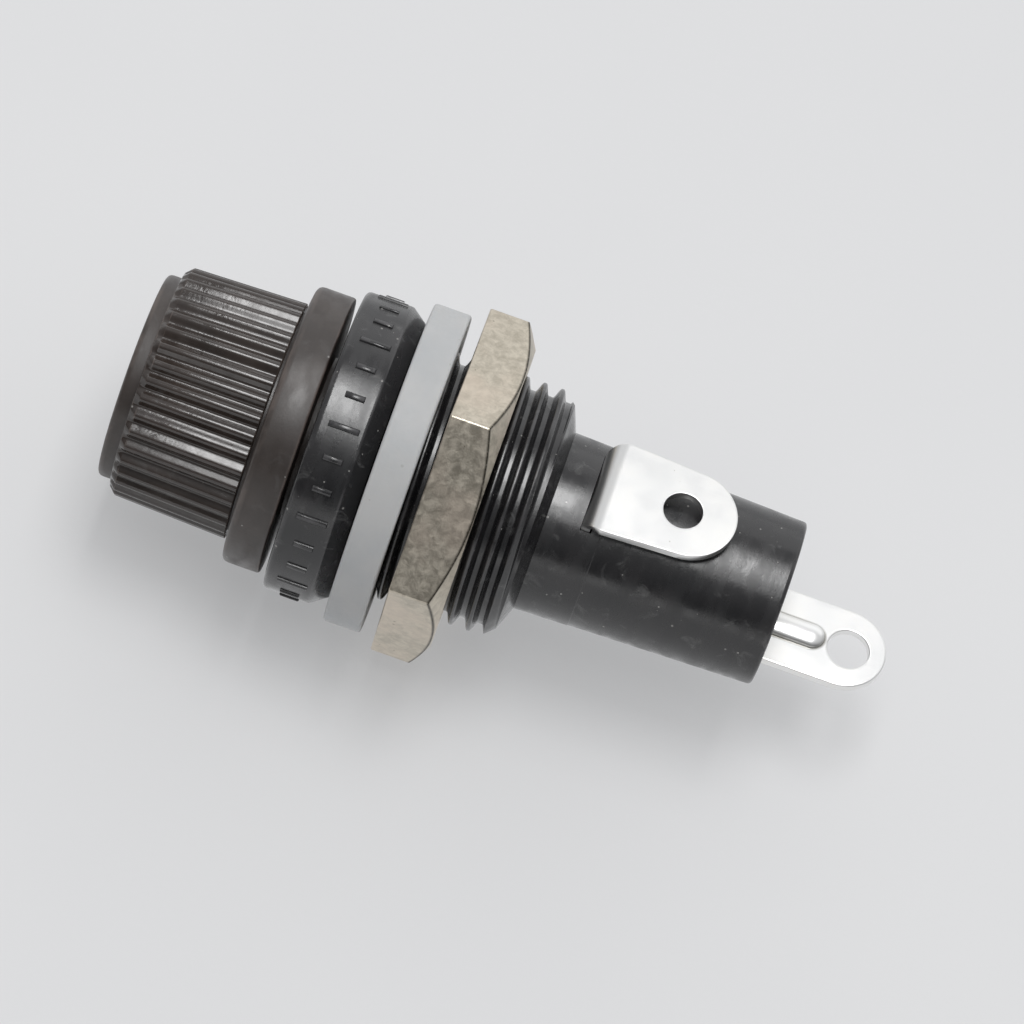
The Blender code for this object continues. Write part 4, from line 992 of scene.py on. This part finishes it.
def end_lug():
    """Foot riveted in the hollow of the tail, bent out into a solder lug with a pressed bead."""
    half = (END_HIGH.y - END_LOW.y) / 2
    floor_at, length = END_LOW.z, END_HIGH.x - END_LOW.x
    bend_end = STRIP + END_BEND_RADIUS
    foot = -floor_at - STRIP - END_BEND_RADIUS    # from the bend to the rivet
    rivet_at = bend_end - bend_length(END_BEND_RADIUS) - foot
    outline = (arc(length - half, half, -pi / 2, pi / 2, LUG_END_STEPS)
               + arc(rivet_at, half, pi / 2, 3 * pi / 2, LUG_END_STEPS))
    bm = stamped(outline, (hole(length - END_HOLE_FROM_TIP, END_HOLE_RADIUS), hole(rivet_at, RIVET_SHANK)))
    turn_round = Matrix.Rotation(pi, 4, "Z")
    bm.transform(turn_round)
    bend_up(bm, -bend_end, END_BEND_RADIUS)
    bm.transform(turn_round)
    made = strip_object("end_lug", bm, (END_LOW.x, 0.0, floor_at))
    bead_length = BEAD_END - BEAD_START
    middle = (BEAD_START + BEAD_END) / 2
    pressed = bead("bead", bead_length, BEAD_WIDTH, BEAD_HEIGHT, floor_at + STRIP, middle)
    hollow = bead("hollow", bead_length - 2 * STRIP, BEAD_WIDTH - STRIP, BEAD_HEIGHT, floor_at,
                  middle + STRIP / 2)
    made = combined(made, added=[pressed], taken=[hollow])
    return place(made, "body", LUG_TIN, "end_terminal")


def stage():
    """A plain pale floor at the nut's lowest corner."""
    corners = [(x * FLOOR_REACH, y * FLOOR_REACH, NUT_LOW.z * MM)
               for x, y in ((-1, -1), (1, -1), (1, 1), (-1, 1))]
    mesh = bpy.data.meshes.new("floor")
    mesh.from_pydata(corners, [], [(0, 1, 2, 3)])
    mesh.materials.append(paper_floor())
    linked("floor", mesh)


def area_light(name, at, aim, size, watts):
    """A rectangular lamp; its place, the point it faces and its sides are in millimetres."""
    data = bpy.data.lights.new(name, "AREA")
    data.shape = "RECTANGLE"
    data.size, data.size_y = (side * MM for side in size)
    data.energy = watts
    lamp = linked(name, data)
    lamp.location = Vector(at) * MM
    lamp.rotation_euler = (Vector(aim) - Vector(at)).to_track_quat("-Z", "Y").to_euler()


def light():
    """A soft lamp overhead, long across the axis and stronger in its middle, weak ones behind and low in
    front, and a dim surround."""
    area_light("overhead", at=(8.0, -6.0, 290.0), aim=(8.0, -6.0, 0.0), size=(95.0, 250.0), watts=0.27)
    area_light("overhead_core", at=(8.0, 12.0, 289.0), aim=(8.0, 12.0, 0.0), size=(95.0, 110.0), watts=0.17)
    area_light("wall_behind", at=(8.0, 330.0, 150.0), aim=(8.0, 0.0, 20.0), size=(700.0, 280.0), watts=0.28)
    area_light("front_fill", at=(8.0, -330.0, 38.0), aim=(8.0, 0.0, 0.0), size=(600.0, 72.0), watts=0.13)
    surround()


def surround():
    """A dim world that grows brighter towards a point high up behind the holder."""
    brightest = (0.0, 0.6, 0.8)
    world = bpy.data.worlds.new("surround")
    world.use_nodes = True
    tree = world.node_tree
    direction = tree.nodes.new("ShaderNodeTexCoord")
    towards = tree.nodes.new("ShaderNodeVectorMath")
    towards.operation = "DOT_PRODUCT"
    towards.inputs[1].default_value = brightest
    strength = tree.nodes.new("ShaderNodeMapRange")
    strength.interpolation_type = "SMOOTHSTEP"
    for socket, value in (("From Min", -0.34), ("From Max", 0.9), ("To Min", 0.12), ("To Max", 0.62)):
        strength.inputs[socket].default_value = value
    background = tree.nodes["Background"]
    background.inputs["Color"].default_value = (0.97, 0.98, 1.0, 1.0)
    tree.links.new(direction.outputs["Generated"], towards.inputs[0])
    tree.links.new(towards.outputs["Value"], strength.inputs["Value"])
    tree.links.new(strength.outputs["Result"], background.inputs["Strength"])
    bpy.context.scene.world = world


def camera():
    """Looks down across the axis from in front, rolled so that the axis drops to the right."""
    data = bpy.data.cameras.new("camera")
    data.lens = 200.0
    distance, elevation, roll = 305.0, radians(59.0), radians(19.6)
    aim = Vector((7.7, 0.17, -0.6))
    data.clip_start = 0.01
    made = linked("camera", data)
    made.location = (aim + distance * Vector((0.0, -cos(elevation), sin(elevation)))) * MM
    tilt = Matrix.Rotation(pi / 2 - elevation, 3, "X")
    made.rotation_euler = (tilt @ Matrix.Rotation(roll, 3, "Z")).to_euler()
    bpy.context.scene.camera = made


cap_grip()
cap_spigot()
body_front()
flange_ticks()
body_tail()
sealing_washer()
hex_nut()
fuse_clip()
clip_rivet()
end_rivet()
contact_sleeve()
contact_plunger()
contact_spring()
side_lug()
end_lug()
stage()
light()
camera()
bpy.context.scene.view_settings.view_transform = "Standard"
